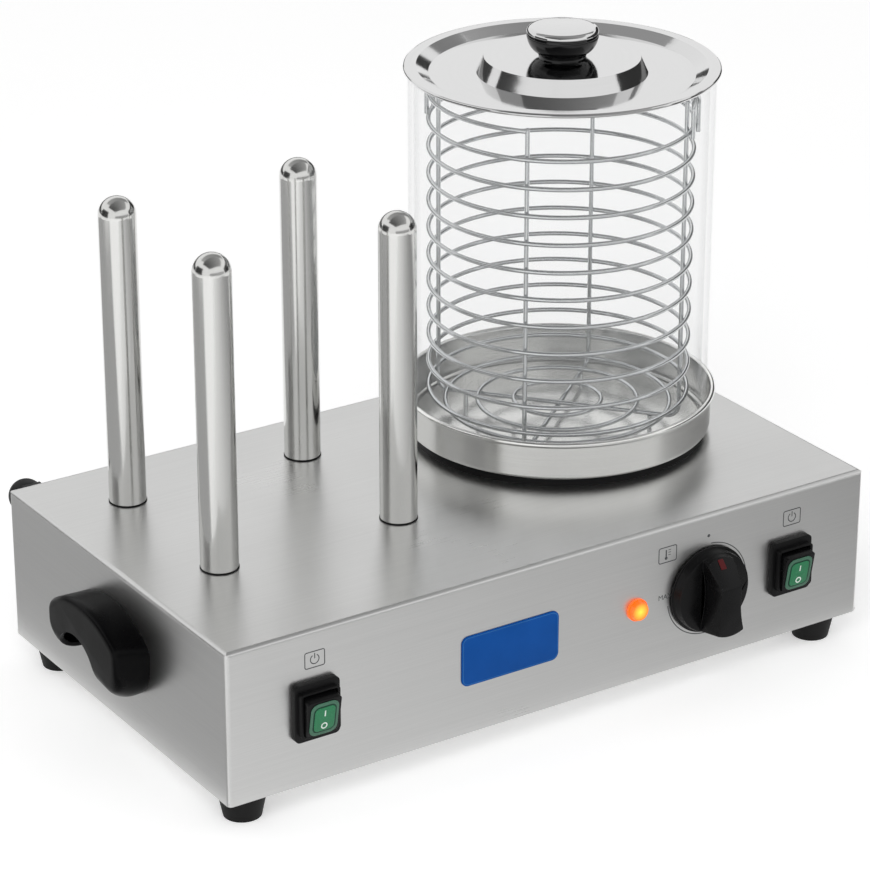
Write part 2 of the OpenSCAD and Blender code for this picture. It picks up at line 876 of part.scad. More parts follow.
// Pegs under the floor wires that keep the basket above the water
module basket_feet() color("#c8cacc") {
    on_steamer() rotate([0, 0, basket_open_start]) for (side = [-1, 1]) {
        translate([side * basket_r * basket_foot_share, 0, pan_floor_z + rest_gap])
            cylinder(h = basket_lift - rest_gap - fit_gap, r = wire_d / 2, $fn = 24);
        rotate([0, 0, basket_leg_angle])
            translate([side * basket_r * basket_foot_share, 0, pan_floor_z + rest_gap])
                cylinder(h = basket_lift + wire_d - rest_gap, r = wire_d / 2, $fn = 24);
    }
}

// Lifting loop that stands up on the outside of the basket
module ear() {
    ear_r = (ear_w - wire_d) / 2;
    plane_r = sqrt(pow(basket_r + wire_d + fit_gap, 2) - pow(ear_r, 2));
    leg_low = top_ring_z - ring_pitch - wire_d;
    leg_top = top_ring_z + ear_rise - wire_d / 2 - ear_r - ring_pitch / 2;
    translate([plane_r, 0, 0]) {
        for (side = [-1, 1]) translate([0, side * ear_r, leg_low])
            cylinder(h = leg_top - leg_low, r = wire_d / 2, $fn = 24);
        translate([0, 0, leg_top]) rotate([90, 0, 90]) rotate_extrude(angle = 180, $fn = 48)
            translate([ear_r, 0]) circle(wire_d / 2, $fn = 24);
    }
}

module basket_ears() color("#c8cacc") {
    on_steamer() for (turn = [0, 180]) rotate([0, 0, ear_angle + turn]) ear();
}

module thermostat_body() color("#d9d2bd") {
    on_front(dial_x, control_z) difference() {
        union() {
            translate([-stat_w / 2, -stat_h / 2, -sheet_t - stat_depth])
                cube([stat_w, stat_h, stat_depth]);
            translate([0, 0, -sheet_t - overrun])
                cylinder(h = sheet_t + stat_bush_l + overrun - hole_gap, r = stat_bush_r);
        }
        translate([0, 0, -sheet_t - shaft_in - overrun])
            cylinder(h = shaft_in + sheet_t + stat_bush_l + 2 * overrun,
                r = shaft_r + fit_gap);
        for (side = [-1, 1])
            translate([side * stat_screw_gap / 2, 0, -sheet_t - stat_screw_depth])
                cylinder(h = stat_screw_depth + overrun, r = stat_screw_r + fit_gap);
    }
}

module thermostat_screws() color("silver") {
    for (side = [-1, 1]) on_front(dial_x + side * stat_screw_gap / 2, control_z)
        screw(stat_screw_r, stat_screw_depth, stat_screw_head_r, stat_screw_head_h);
}

module thermostat_shaft() color("silver") {
    on_front(dial_x, control_z) translate([0, 0, -sheet_t - shaft_in])
        cylinder(h = shaft_in + sheet_t + shaft_out, r = shaft_r);
}

// Round bar between two points
module bar(a, b, r) {
    v = b - a;
    l = norm(v);
    translate(a) rotate([0, acos(v[2] / l), atan2(v[1], v[0])])
        cylinder(h = l, r = r, $fn = 24);
}

module thermostat_bulb() color("#b87333") {
    bulb_z = top_z + seal_h - heat_plate_t - bulb_r - fit_gap;
    bulb_x = steam_x - bulb_offset;
    bulb_front = steam_y - bulb_l / 2;
    low_z = foot_h + control_z + stat_h / 2 + capillary_rise;
    rear_y = capillary_back + stat_depth + sheet_t - body_d / 2;
    route = [[bulb_x, bulb_front, bulb_z], [bulb_x, bulb_front - capillary_lead, bulb_z],
        [bulb_x, bulb_front - capillary_lead, low_z], [bulb_x, rear_y, low_z],
        [dial_x, rear_y, low_z], [dial_x, rear_y, foot_h + control_z],
        [dial_x, stat_depth + sheet_t - body_d / 2 + fit_gap, foot_h + control_z]];
    placed() {
        translate(route[0]) rotate([-90, 0, 0]) cylinder(h = bulb_l, r = bulb_r);
        for (n = [0 : len(route) - 2]) bar(route[n], route[n + 1], capillary_r);
        for (n = [1 : len(route) - 2]) translate(route[n]) sphere(capillary_r, $fn = 24);
    }
}

// Local Z stands square on the slope at the pointing end of the grip
module on_grip_slope() {
    translate([0, dial_r - grip_inset - grip_slope_run, dial_out])
        rotate([-grip_slope_angle, 0, 0]) children();
}

module control_knob() color("#191919") {
    on_front(dial_x, control_z) difference() {
        union() {
            translate([0, 0, dial_gap]) cylinder(h = dial_skirt_lip, r = dial_r);
            translate([0, 0, dial_gap + dial_skirt_lip])
                cylinder(h = dial_skirt_h - dial_skirt_lip, r1 = dial_r - dial_skirt_lip,
                    r2 = dial_r - 2 * dial_skirt_lip);
            translate([0, 0, dial_gap]) intersection() {
                cylinder(h = dial_out - dial_gap, r1 = dial_r - grip_inset + grip_taper,
                    r2 = dial_r - grip_inset);
                difference() {
                    translate([-grip_w / 2, -dial_r, 0]) cube([grip_w, 2 * dial_r, dial_out]);
                    for (side = [-1, 1])
                        translate([side * (grip_waist / 2 + grip_scoop_r), 0, -overrun])
                            cylinder(h = dial_out + 2 * overrun, r = grip_scoop_r);
                }
            }
        }
        on_grip_slope() translate([-grip_w, 0, 0]) cube([2 * grip_w, dial_r, dial_r]);
        translate([0, 0, -overrun]) cylinder(h = shaft_out + 2 * overrun,
            r = shaft_r + fit_gap);
        translate([0, 0, dial_gap - overrun])
            cylinder(h = stat_screw_head_h + overrun, r = stat_screw_gap / 2
                + stat_screw_head_r + overrun);
    }
}

module knob_marker() color("crimson") {
    on_front(dial_x, control_z) on_grip_slope()
        translate([-marker_w / 2, marker_start, 0]) cube([marker_w, marker_h, marker_t]);
}

module pilot_lens() color("orange") {
    on_front(pilot_x, control_z) {
        cylinder(h = pilot_flange_t, r = pilot_r);
        translate([0, 0, pilot_flange_t]) cylinder(h = pilot_dome_h,
            r1 = pilot_r - pilot_flange_t / 2, r2 = pilot_r - pilot_flange_t);
    }
}

module pilot_body() color("#303030") {
    on_front(pilot_x, control_z) {
        translate([0, 0, -pilot_body_l]) cylinder(h = pilot_body_l, r = pilot_body_r);
        for (side = [-1, 1]) translate([side * pilot_pin_gap / 2 - pilot_pin_t / 2,
            -pilot_pin_w / 2, -pilot_body_l - pilot_pin_l])
            cube([pilot_pin_t, pilot_pin_w, pilot_pin_l + overrun]);
    }
}

module switch_frame(side) {
    color("#1b1b1b") on_switch(side) difference() {
        union() {
            round_plate(switch_w, switch_h, switch_corner_r, switch_flange_t);
            round_plate(cutout_w + 2 * switch_collar_side,
                cutout_h + 2 * switch_collar_end, switch_collar_r, switch_collar_h);
            translate([0, 0, -sleeve_l]) round_plate(cutout_w - hole_gap,
                cutout_h - hole_gap, cutout_corner_r, sleeve_l);
        }
        translate([0, 0, frame_web_t])
            round_plate(cutout_w, cutout_h, cutout_corner_r, switch_collar_h);
        translate([0, 0, -sleeve_l - overrun])
            linear_extrude(sleeve_l + frame_web_t + 2 * overrun)
                square([cutout_w - hole_gap - 2 * sleeve_wall,
                    cutout_h - hole_gap - 2 * sleeve_wall], center = true);
        translate([0, 0, rocker_pivot]) rotate([0, 90, 0])
            cylinder(h = cutout_w + 2 * rocker_pin_l + 2 * hole_gap,
                r = rocker_pin_r + fit_gap, center = true);
    }
}

// Local origin on a rocker's pivot, local Z square to its front
module on_rocker(side) {
    on_switch(side) translate([0, 0, rocker_pivot]) rotate([rocker_tilt, 0, 0]) children();
}

module rocker(side) {
    color("#1e1e1e") on_rocker(side) {
        translate([0, 0, rocker_floor - rocker_pivot])
            round_plate(rocker_w, rocker_h, rocker_corner_r, rocker_out - rocker_floor);
        rotate([0, 90, 0]) cylinder(h = rocker_w + 2 * rocker_pin_l,
            r = rocker_pin_r, center = true);
    }
}

module rocker_lens(side) {
    color("seagreen") on_rocker(side) translate([0, 0, rocker_out - rocker_pivot])
        round_plate(rocker_w - 2 * lens_side, rocker_h - 2 * lens_end, lens_corner_r, lens_t);
}

module switch_body(side) {
    color("#26282a") on_switch(side)
        translate([0, 0, -sleeve_l - switch_body_l]) linear_extrude(switch_body_l)
            square([cutout_w - hole_gap, cutout_h - hole_gap], center = true);
}

module left_switch_frame() switch_frame(-1);
module right_switch_frame() switch_frame(1);
module left_rocker() rocker(-1);
module right_rocker() rocker(1);
module left_lens() rocker_lens(-1);
module right_lens() rocker_lens(1);
module left_switch_body() switch_body(-1);
module right_switch_body() switch_body(1);

module switch_terminals() color("goldenrod") {
    for (side = [-1, 1], x = [-1, 1], z = [-1, 1]) on_switch(side)
        translate([x * spade_gap_x / 2 - spade_t / 2, z * spade_gap_z / 2 - spade_w / 2,
            -sleeve_l - switch_body_l - spade_l])
            cube([spade_t, spade_w, spade_l]);
}

module terminal_block() color("ivory") {
    placed() translate([block_x, block_y, foot_h + base_t]) difference() {
        translate([-block_l / 2, -block_w / 2, 0]) cube([block_l, block_w, block_h]);
        for (n = [-1 : 1]) translate([n * block_pitch, 0, block_h / 2]) {
            rotate([90, 0, 0]) cylinder(h = block_w + 2 * overrun, r = block_bore_r,
                center = true);
            cylinder(h = block_h, r = block_bore_r);
        }
    }
}

module earth_stud() color("goldenrod") {
    placed() translate([earth_x, earth_y, foot_h]) {
        rotate([180, 0, 0]) cylinder(h = earth_head_h, r = earth_head_r);
        cylinder(h = earth_l, r = earth_r);
        translate([0, 0, base_t]) cylinder(h = earth_nut_h, r = earth_nut_w / sqrt(3),
            $fn = 6);
    }
}

module cable_gland() color("#1a1a1a") {
    on_rear(gland_x, gland_z) difference() {
        union() {
            cylinder(h = gland_flange_t, r = gland_flange_w / sqrt(3), $fn = 6);
            translate([0, 0, -gland_thread_l]) cylinder(h = gland_thread_l + overrun,
                r = gland_thread_r);
            cylinder(h = gland_flange_t + gland_neck_l, r = gland_neck_r);
        }
        translate([0, 0, -gland_thread_l - overrun])
            cylinder(h = gland_thread_l + gland_flange_t + gland_neck_l + 2 * overrun,
                r = gland_bore_r);
    }
}

module gland_cap() color("#141414") {
    on_rear(gland_x, gland_z) translate([0, 0, gland_flange_t]) difference() {
        union() {
            cylinder(h = gland_cap_straight, r = gland_cap_r);
            translate([0, 0, gland_cap_straight]) intersection() {
                sphere(gland_cap_r);
                cylinder(h = gland_cap_r, r = gland_cap_r);
            }
        }
        translate([0, 0, -overrun]) cylinder(h = gland_neck_l + hole_gap + overrun,
            r = gland_neck_r + fit_gap);
        cylinder(h = gland_cap_straight + gland_cap_r + overrun, r = gland_mouth_r);
    }
}

module gland_seal() color("#2a2a2a") {
    on_rear(gland_x, gland_z) ring(gland_bore_r - fit_gap, gland_seal_bore_r,
        gland_flange_t + gland_cap_straight + gland_cap_r / 2);
}

module gland_locknut() color("#1a1a1a") {
    on_rear(gland_x, gland_z) translate([0, 0, -sheet_t - gland_nut_h])
        hex_nut(gland_nut_w, gland_nut_h, gland_thread_r + fit_gap);
}

housing_shell();
base_plate();
base_screws();
foot_front_left();
foot_front_right();
foot_rear_left();
foot_rear_right();
foot_screws();
foot_nuts();
handle_left();
handle_right();
handle_screws();
spike_front_left();
spike_front_right();
spike_rear_left();
spike_rear_right();
spike_seals();
spike_washers();
spike_nuts();
spike_heaters();
water_pan();
pan_seal();
heat_plate();
pan_heater();
clamp_bar();
clamp_nut();
limit_thermostat();
glass_cylinder();
lid_plate();
lid_knob();
lid_knob_cap();
lid_knob_screw();
basket_rings();
basket_uprights();
basket_floor_rings();
basket_feet();
basket_ears();
thermostat_body();
thermostat_screws();
thermostat_shaft();
thermostat_bulb();
control_knob();
knob_marker();
pilot_lens();
pilot_body();
left_switch_frame();
left_rocker();
left_lens();
left_switch_body();
right_switch_frame();
right_rocker();
right_lens();
right_switch_body();
switch_terminals();
terminal_block();
earth_stud();
cable_gland();
gland_cap();
gland_seal();
gland_locknut();
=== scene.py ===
"""Looks of a counter-top hot dog toaster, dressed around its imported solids."""

import json
import logging
import math
from dataclasses import dataclass
from enum import Enum
from typing import Optional, Protocol, Sequence

import bpy
from mathutils import Matrix, Vector


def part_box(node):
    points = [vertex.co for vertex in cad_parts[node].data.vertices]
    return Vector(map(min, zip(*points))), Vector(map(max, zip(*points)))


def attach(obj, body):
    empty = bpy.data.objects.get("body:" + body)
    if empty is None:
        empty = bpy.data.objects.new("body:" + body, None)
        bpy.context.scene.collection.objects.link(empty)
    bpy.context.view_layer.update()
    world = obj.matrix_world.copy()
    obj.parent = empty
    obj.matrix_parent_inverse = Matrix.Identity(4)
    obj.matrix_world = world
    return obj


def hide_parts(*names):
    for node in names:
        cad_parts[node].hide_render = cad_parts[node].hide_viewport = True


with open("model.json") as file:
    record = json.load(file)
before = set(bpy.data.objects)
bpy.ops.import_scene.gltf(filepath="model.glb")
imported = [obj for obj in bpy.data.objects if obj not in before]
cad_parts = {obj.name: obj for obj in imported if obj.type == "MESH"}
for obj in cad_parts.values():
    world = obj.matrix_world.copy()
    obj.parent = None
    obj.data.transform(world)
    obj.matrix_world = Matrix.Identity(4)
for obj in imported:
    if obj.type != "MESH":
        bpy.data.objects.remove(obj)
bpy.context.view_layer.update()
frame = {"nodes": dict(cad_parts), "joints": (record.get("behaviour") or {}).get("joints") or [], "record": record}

LOG = logging.getLogger("toaster")
TRIPLE = tuple[float, float, float]
PAIR = tuple[float, float]
Socket = bpy.types.NodeSocket
Piece = bpy.types.Object

MM = 0.001

# Angles in degrees, and how near two points are one
SMOOTH_ANGLE = 35.0
SHARP_ANGLE = 60.0
FLAT_ANGLE = 0.5
WELD = 1e-6
CAD_WELD = 1e-5

# The share of a stroke's width that rounds its corners, and the steps of round shapes
STROKE_ROUND = 0.3
CORNER_STEPS = 8
SIGN_STEPS = 32
SCALE_STEPS = 72

# How squarely an end of the housing looks along X, and the rays that see the studio itself
END_FACE = 0.7
SEEN = ("Is Camera Ray", "Is Glossy Ray", "Is Transmission Ray")

# The span that noise mostly keeps to, its roughness, and how many finer layers lie on it
SPAN = (0.3, 0.7)
NOISE_ROUGHNESS = 0.55
FEW_LAYERS, SOME_LAYERS, MANY_LAYERS = 2.0, 3.0, 4.0

# The least that dust adds to a colour
DUST_FLOOR = 0.001

# Scales of marks per metre, how much longer they are round an axis, and their depths
FINE_MARKS = (14, 2200)
BROAD_MARKS = (5, 420)
ROUND_STRETCH = 10
CLOUDS = 9.0
HANDLING = 45.0
PEBBLE = 1400.0
PEBBLE_DEPTH = 0.12 * MM
BRUSH_DEPTH = 0.2 * MM
FLUTE_DEPTH = 0.4 * MM


def linear(code: int) -> TRIPLE:
    """Turns a written colour such as 0x1A2B3C into linear light.

    Args:
        code: Red, green and blue, eight bits each.

    Returns:
        The three linear values.
    """
    parts = [(code >> shift & 255) / 255 for shift in (16, 8, 0)]
    return tuple(p / 12.92 if p <= 0.04045 else ((p + 0.055) / 1.055) ** 2.4 for p in parts)


def scaled(colour: TRIPLE, factor: float) -> TRIPLE:
    """A colour made lighter or darker, never past white."""
    return tuple(min(1.0, part * factor) for part in colour)


class Grain(Enum):
    """Which way the marks of brushing or turning run."""

    FOLDED = "along the folded housing's faces"
    LENGTH = "up and down a rod"
    TURNED = "round the steamer's axis"


class Graph:
    """The nodes of a material or the world, with the sums that both need."""

    def __init__(self, tree: bpy.types.NodeTree) -> None:
        """Takes the node tree."""
        self.nodes, self.links = tree.nodes, tree.links

    def remap(self, source: Socket, low: float, high: float, start: float = 0.0,
              end: float = 1.0) -> Socket:
        """Stretches start..end of a value to low..high.

        Args:
            source: The value.
            low: What the start becomes.
            high: What the end becomes.
            start: Lowest value that counts.
            end: Highest value that counts.

        Returns:
            The new value.
        """
        node = self.nodes.new("ShaderNodeMapRange")
        sockets = ("From Min", "From Max", "To Min", "To Max")
        for key, value in zip(sockets, (start, end, low, high)):
            node.inputs[key].default_value = value
        self.links.new(source, node.inputs["Value"])
        return node.outputs["Result"]

    def math(self, operation: str, first: Socket, second: Socket | float = 0.0) -> Socket:
        """One sum on one or two values.

        Args:
            operation: The sum's type.
            first: The first value.
            second: The second value, from a socket or as a number.

        Returns:
            The result.
        """
        node = self.nodes.new("ShaderNodeMath")
        node.operation = operation
        self.links.new(first, node.inputs[0])
        if isinstance(second, (int, float)):
            node.inputs[1].default_value = second
        else:
            self.links.new(second, node.inputs[1])
        return node.outputs[0]

    def weighed(self, first: Socket, second: Socket, share: float) -> Socket:
        """Two values added, the first by its share and the second by the rest."""
        return self.math("ADD", self.math("MULTIPLY", first, share),
                         self.math("MULTIPLY", second, 1 - share))

    def largest(self, *values: Socket) -> Socket:
        """The largest of several values.

        Args:
            values: The values to choose from.

        Returns:
            The largest of them.
        """
        result = values[0]
        for value in values[1:]:
            result = self.math("MAXIMUM", result, value)
        return result

    def seen(self) -> Socket:
        """One for what the eye, a reflection or a glass looks at, and zero for light."""
        path = self.nodes.new("ShaderNodeLightPath")
        return self.largest(*(path.outputs[name] for name in SEEN))


class Recipe(Graph):
    """One node material, built step by step on its Principled shader."""

    def __init__(self, name: str) -> None:
        """Starts a material.

        Args:
            name: The finish's name.
        """
        self.material = bpy.data.materials.new(name)
        self.material.use_nodes = True
        super().__init__(self.material.node_tree)
        self.shader = self.nodes["Principled BSDF"]
        self.coordinates = self.nodes.new("ShaderNodeTexCoord")

    def set(self, **values: object) -> None:
        """Sets the shader's own sockets; an underscore stands for a space."""
        for key, value in values.items():
            self.shader.inputs[key.replace("_", " ")].default_value = value

    def wire(self, source: Socket, socket: str) -> None:
        """Leads a value into one of the shader's sockets."""
        self.links.new(source, self.shader.inputs[socket])

    def space(self, stretch: TRIPLE = (1, 1, 1), centre: TRIPLE = (0, 0, 0)) -> Socket:
        """Object coordinates, stretched about a centre.

        Args:
            stretch: Factor on each axis.
            centre: The point that becomes zero.

        Returns:
            The vector socket.
        """
        node = self.nodes.new("ShaderNodeMapping")
        node.inputs["Scale"].default_value = stretch
        node.inputs["Location"].default_value = [-c * s for c, s in zip(centre, stretch)]
        self.links.new(self.coordinates.outputs["Object"], node.inputs["Vector"])
        return node.outputs["Vector"]

    def noise(self, vector: Socket, scale: float, detail: float = SOME_LAYERS) -> Socket:
        """Cloudy variation from 0 to 1.

        Args:
            vector: Where it is read.
            scale: How fine its clouds are.
            detail: How many finer layers lie on them.

        Returns:
            The value.
        """
        node = self.nodes.new("ShaderNodeTexNoise")
        node.inputs["Scale"].default_value = scale
        node.inputs["Detail"].default_value = detail
        node.inputs["Roughness"].default_value = NOISE_ROUGHNESS
        self.links.new(vector, node.inputs["Vector"])
        return node.outputs["Fac"]

    def sideways(self) -> Socket:
        """How far the surface looks along X, from 0 to 1.

        Returns:
            The value, which is 1 on the object's two ends.
        """
        normal = self.nodes.new("ShaderNodeSeparateXYZ")
        self.links.new(self.coordinates.outputs["Normal"], normal.inputs[0])
        return self.math("ABSOLUTE", normal.outputs["X"])

    def blend(self, factor: Socket, first: TRIPLE, second: TRIPLE) -> Socket:
        """A colour between two, by a factor.

        Args:
            factor: Zero for the first colour and one for the second.
            first: The first colour, in linear light.
            second: The second colour, in linear light.

        Returns:
            The colour.
        """
        node = self.nodes.new("ShaderNodeMix")
        node.data_type = "RGBA"
        self.links.new(factor, node.inputs[0])
        node.inputs[6].default_value = (*first, 1.0)
        node.inputs[7].default_value = (*second, 1.0)
        return node.outputs[2]

    def bump(self, height: Socket, strength: float, distance: float) -> None:
        """Raises the surface by a height, on top of any bump before it.

        Args:
            height: The height, from 0 to 1.
            strength: How much of it shows.
            distance: Its full depth in metres.
        """
        node = self.nodes.new("ShaderNodeBump")
        node.inputs["Strength"].default_value = strength
        node.inputs["Distance"].default_value = distance
        self.links.new(height, node.inputs["Height"])
        before = self.shader.inputs["Normal"].links
        if before:
            self.links.new(before[0].from_socket, node.inputs["Normal"])
        self.wire(node.outputs["Normal"], "Normal")

    def folded_space(self, along: float, across: float) -> Socket:
        """Streaks that run sideways on the front and top, and front to back on the ends.

        Args:
            along: Scale along the streaks.
            across: Scale across them.

        Returns:
            The vector socket.
        """
        end = self.math("GREATER_THAN", self.sideways(), END_FACE)
        node = self.nodes.new("ShaderNodeMix")
        node.data_type = "VECTOR"
        self.links.new(end, node.inputs[0])
        self.links.new(self.space((along, across, across)), node.inputs[4])
        self.links.new(self.space((across, along, across)), node.inputs[5])
        return node.outputs[1]

    def turned_space(self, centre: TRIPLE, along: float, across: float) -> Socket:
        """Streaks that run round an upright axis.

        Args:
            centre: A point on the axis.
            along: Scale round the axis.
            across: Scale outwards and upwards.

        Returns:
            The vector socket.
        """
        place = self.nodes.new("ShaderNodeSeparateXYZ")
        self.links.new(self.space(centre=centre), place.inputs[0])
        x, y, z = place.outputs
        out = self.math("SQRT", self.math("ADD", self.math("MULTIPLY", x, x),
                                          self.math("MULTIPLY", y, y)))
        vector = self.nodes.new("ShaderNodeCombineXYZ")
        self.links.new(self.math("MULTIPLY", out, across), vector.inputs[0])
        self.links.new(self.math("MULTIPLY", self.math("ARCTAN2", y, x), along), vector.inputs[1])
        self.links.new(self.math("MULTIPLY", z, across), vector.inputs[2])
        return vector.outputs[0]


class Finish(Protocol):
    """Anything that can be turned into one material."""

    name: str

    def material(self) -> bpy.types.Material:
        """The finish as a material."""


@dataclass(frozen=True)
class Metal:
    """Bare or plated metal with brushing, clouding and fingermarks."""

    name: str
    colour: int
    roughness: float
    grain: Grain
    streaks: float = 0.05
    clouding: float = 0.05
    depth: float = 0.1
    centre: TRIPLE = (0, 0, 0)
    fine_share: float = 0.6
    tone_marks: float = 0.75
    rough_clouds: float = 0.7

    def grain_space(self, recipe: Recipe, along: float, across: float) -> Socket:
        """Coordinates in which the marks of working are long one way.

        Args:
            recipe: The material under way.
            along: Scale along the marks.
            across: Scale across them.

        Returns:
            The vector socket.
        """
        if self.grain is Grain.FOLDED:
            return recipe.folded_space(along, across)
        if self.grain is Grain.TURNED:
            return recipe.turned_space(self.centre, along / ROUND_STRETCH, across)
        return recipe.space((across, across, along))

    def material(self) -> bpy.types.Material:
        """The metal as a material.

        Returns:
            The material.
        """
        recipe = Recipe(self.name)
        base = linear(self.colour)
        recipe.set(Metallic=1.0)
        fine = recipe.noise(self.grain_space(recipe, *FINE_MARKS), 1.0, FEW_LAYERS)
        broad = recipe.noise(self.grain_space(recipe, *BROAD_MARKS), 1.0)
        cloud = recipe.noise(recipe.space(), CLOUDS, MANY_LAYERS)
        marks = recipe.weighed(fine, broad, self.fine_share)
        tone = recipe.remap(recipe.weighed(marks, cloud, self.tone_marks), 0, 1, *SPAN)
        dark, light = scaled(base, 1 - self.streaks), scaled(base, 1 + self.streaks)
        recipe.wire(recipe.blend(tone, dark, light), "Base Color")
        uneven = recipe.weighed(cloud, marks, self.rough_clouds)
        low, high = self.roughness - self.clouding, self.roughness + self.clouding
        recipe.wire(recipe.remap(uneven, low, high, *SPAN), "Roughness")
        recipe.bump(marks, self.depth, BRUSH_DEPTH)
        return recipe.material


@dataclass(frozen=True)
class Moulded:
    """Plastic or rubber from a mould, with a fine grain and handling marks."""

    name: str
    colour: int
    roughness: float
    pebble: float = PEBBLE
    depth: float = 0.12
    dust: float = 0.25
    coat: float = 0.0
    coat_roughness: float = 0.08
    shine: float = 0.2
    handled: PAIR = (0.35, 0.75)
    wear: PAIR = (-0.06, 0.08)

    def material(self) -> bpy.types.Material:
        """The plastic as a material.

        Returns:
            The material.
        """
        recipe = Recipe(self.name)
        base = linear(self.colour)
        recipe.set(Specular_IOR_Level=self.shine, Coat_Weight=self.coat,
                   Coat_Roughness=self.coat_roughness)
        cloud = recipe.noise(recipe.space(), HANDLING, MANY_LAYERS)
        grain = recipe.noise(recipe.space(), self.pebble, FEW_LAYERS)
        clean = scaled(base, 1 - self.dust / 2)
        dusty = tuple(min(1, part * (1 + self.dust) + DUST_FLOOR) for part in base)
        dirt = recipe.remap(cloud, 0, 1, *self.handled)
        recipe.wire(recipe.blend(dirt, clean, dusty), "Base Color")
        low, high = (self.roughness + part for part in self.wear)
        recipe.wire(recipe.remap(cloud, low, high, *SPAN), "Roughness")
        recipe.bump(grain, self.depth, PEBBLE_DEPTH)
        return recipe.material


@dataclass(frozen=True)
class Faced:
    """Dark moulded plastic, satin on the sideways faces, which get a paler colour as painted light."""

    name: str
    colour: int
    painted_light_face_colour: int
    roughness: float = 0.3
    face_roughness: float = 0.42
    depth: float = 0.06
    shine: float = 0.09
    face_shine: float = 0.14
    wear: PAIR = (-0.05, 0.06)
    turn: PAIR = (0.8, 0.98)

    def material(self) -> bpy.types.Material:
        """The plastic as a material.

        Returns:
            The material.
        """
        recipe = Recipe(self.name)
        face = recipe.remap(recipe.sideways(), 0, 1, *self.turn)
        cloud = recipe.noise(recipe.space(), HANDLING, MANY_LAYERS)
        # Painted light: the sideways faces are paler, standing in for the light and reflection that they catch.
        recipe.wire(recipe.blend(face, linear(self.colour), linear(self.painted_light_face_colour)), "Base Color")
        rough = recipe.remap(face, self.roughness, self.face_roughness)
        worn = recipe.remap(cloud, *self.wear, *SPAN)
        recipe.wire(recipe.math("ADD", rough, worn), "Roughness")
        recipe.wire(recipe.remap(face, self.shine, self.face_shine), "Specular IOR Level")
        grain = recipe.noise(recipe.space(), PEBBLE, FEW_LAYERS)
        recipe.bump(grain, self.depth, PEBBLE_DEPTH)
        return recipe.material


@dataclass(frozen=True)
class Clear:
    """Clear glass with the faint smears of cleaning, and painted reflection along its edges."""

    name: str
    colour: int
    smear: float
    veil: float = 0.05
    rim: float = 0.4
    turn: PAIR = (0.7, 1.0)
    bend: float = 1.47
    bright: float = 1.01
    wiping: TRIPLE = (14, 14, 3)
    wiped: PAIR = (0.45, 0.8)

    def material(self) -> bpy.types.Material:
        """The glass as a material.

        Returns:
            The material.
        """
        recipe = Recipe(self.name)
        recipe.set(IOR=self.bend)
        wiped = recipe.noise(recipe.space(self.wiping), 1.0, MANY_LAYERS)
        base = linear(self.colour)
        recipe.wire(recipe.blend(wiped, base, scaled(base, self.bright)), "Base Color")
        recipe.wire(recipe.remap(wiped, 0.0, self.smear, *self.wiped), "Roughness")
        # Painted reflection: opacity grows towards the edges, so the pale colour paints grey edge lines there, on
        # top of the shader's own reflection.
        rim = recipe.nodes.new("ShaderNodeLayerWeight")
        recipe.wire(recipe.remap(rim.outputs["Facing"], self.veil, self.rim, *self.turn), "Alpha")
        return recipe.material


@dataclass(frozen=True)
class Lit:
    """A translucent lens with a lamp behind its middle."""

    name: str
    middle: int
    edge: int
    centre: TRIPLE
    radius: float
    strength: float
    roughness: float = 0.25
    coat: float = 0.6
    coat_roughness: float = 0.05
    flutes: float = 900.0
    uneven: float = 0.12
    depth: float = 0.15

    def material(self) -> bpy.types.Material:
        """The lit lens as a material.

        Returns:
            The material.
        """
        recipe = Recipe(self.name)
        recipe.set(Coat_Weight=self.coat, Coat_Roughness=self.coat_roughness)
        away = recipe.nodes.new("ShaderNodeVectorMath")
        away.operation = "LENGTH"
        recipe.links.new(recipe.space((1, 0, 1), self.centre), away.inputs[0])
        flutes = recipe.noise(recipe.space(centre=self.centre), self.flutes, 1.0)
        near = recipe.math("ADD", recipe.remap(away.outputs["Value"], 0, 1, 0, self.radius),
                           recipe.math("MULTIPLY", flutes, self.uneven))
        colour = recipe.blend(near, linear(self.middle), linear(self.edge))
        recipe.wire(colour, "Base Color")
        recipe.wire(colour, "Emission Color")
        recipe.set(Emission_Strength=self.strength, Roughness=self.roughness)
        recipe.bump(flutes, self.depth, FLUTE_DEPTH)
        return recipe.material


class Palette:
    """Every finish of the object, each made into a material once."""

    def __init__(self, finishes: Sequence[Finish]) -> None:
        """Takes the finishes that the object uses."""
        self.finishes = {finish.name: finish for finish in finishes}
        self.made: dict[str, bpy.types.Material] = {}

    def __getitem__(self, name: str) -> bpy.types.Material:
        """The material of a finish, made when first asked for.

        Args:
            name: The finish's name.

        Returns:
            The material.
        """
        if name not in self.made:
            self.made[name] = self.finishes[name].material()
        return self.made[name]


def only(piece: Piece) -> Piece:
    """Makes one object the active and only selected one.

    Args:
        piece: The object.

    Returns:
        The same object.
    """
    bpy.ops.object.select_all(action="DESELECT")
    piece.select_set(True)
    bpy.context.view_layer.objects.active = piece
    return piece


def fresh(name: str) -> Piece:
    """Names the object that an operator has just added, and selects it alone.

    Args:
        name: Name of the object and of its mesh.

    Returns:
        The object.
    """
    piece = bpy.context.active_object
    piece.name = name
    piece.data.name = name
    return only(piece)


def settled(piece: Piece, place: Optional[Matrix] = None) -> Piece:
    """Moves an object to its place and puts the place into its mesh.

    Args:
        piece: The object.
        place: The matrix to apply first, if any.

    Returns:
        The same object, at the origin, unturned and unscaled.
    """
    if place is not None:
        piece.matrix_basis = place @ piece.matrix_basis
    only(piece)
    bpy.ops.object.transform_apply(location=True, rotation=True, scale=True)
    return piece


def shift(x: float, y: float, z: float = 0.0) -> Matrix:
    """A move in millimetres."""
    return Matrix.Translation((x * MM, y * MM, z * MM))


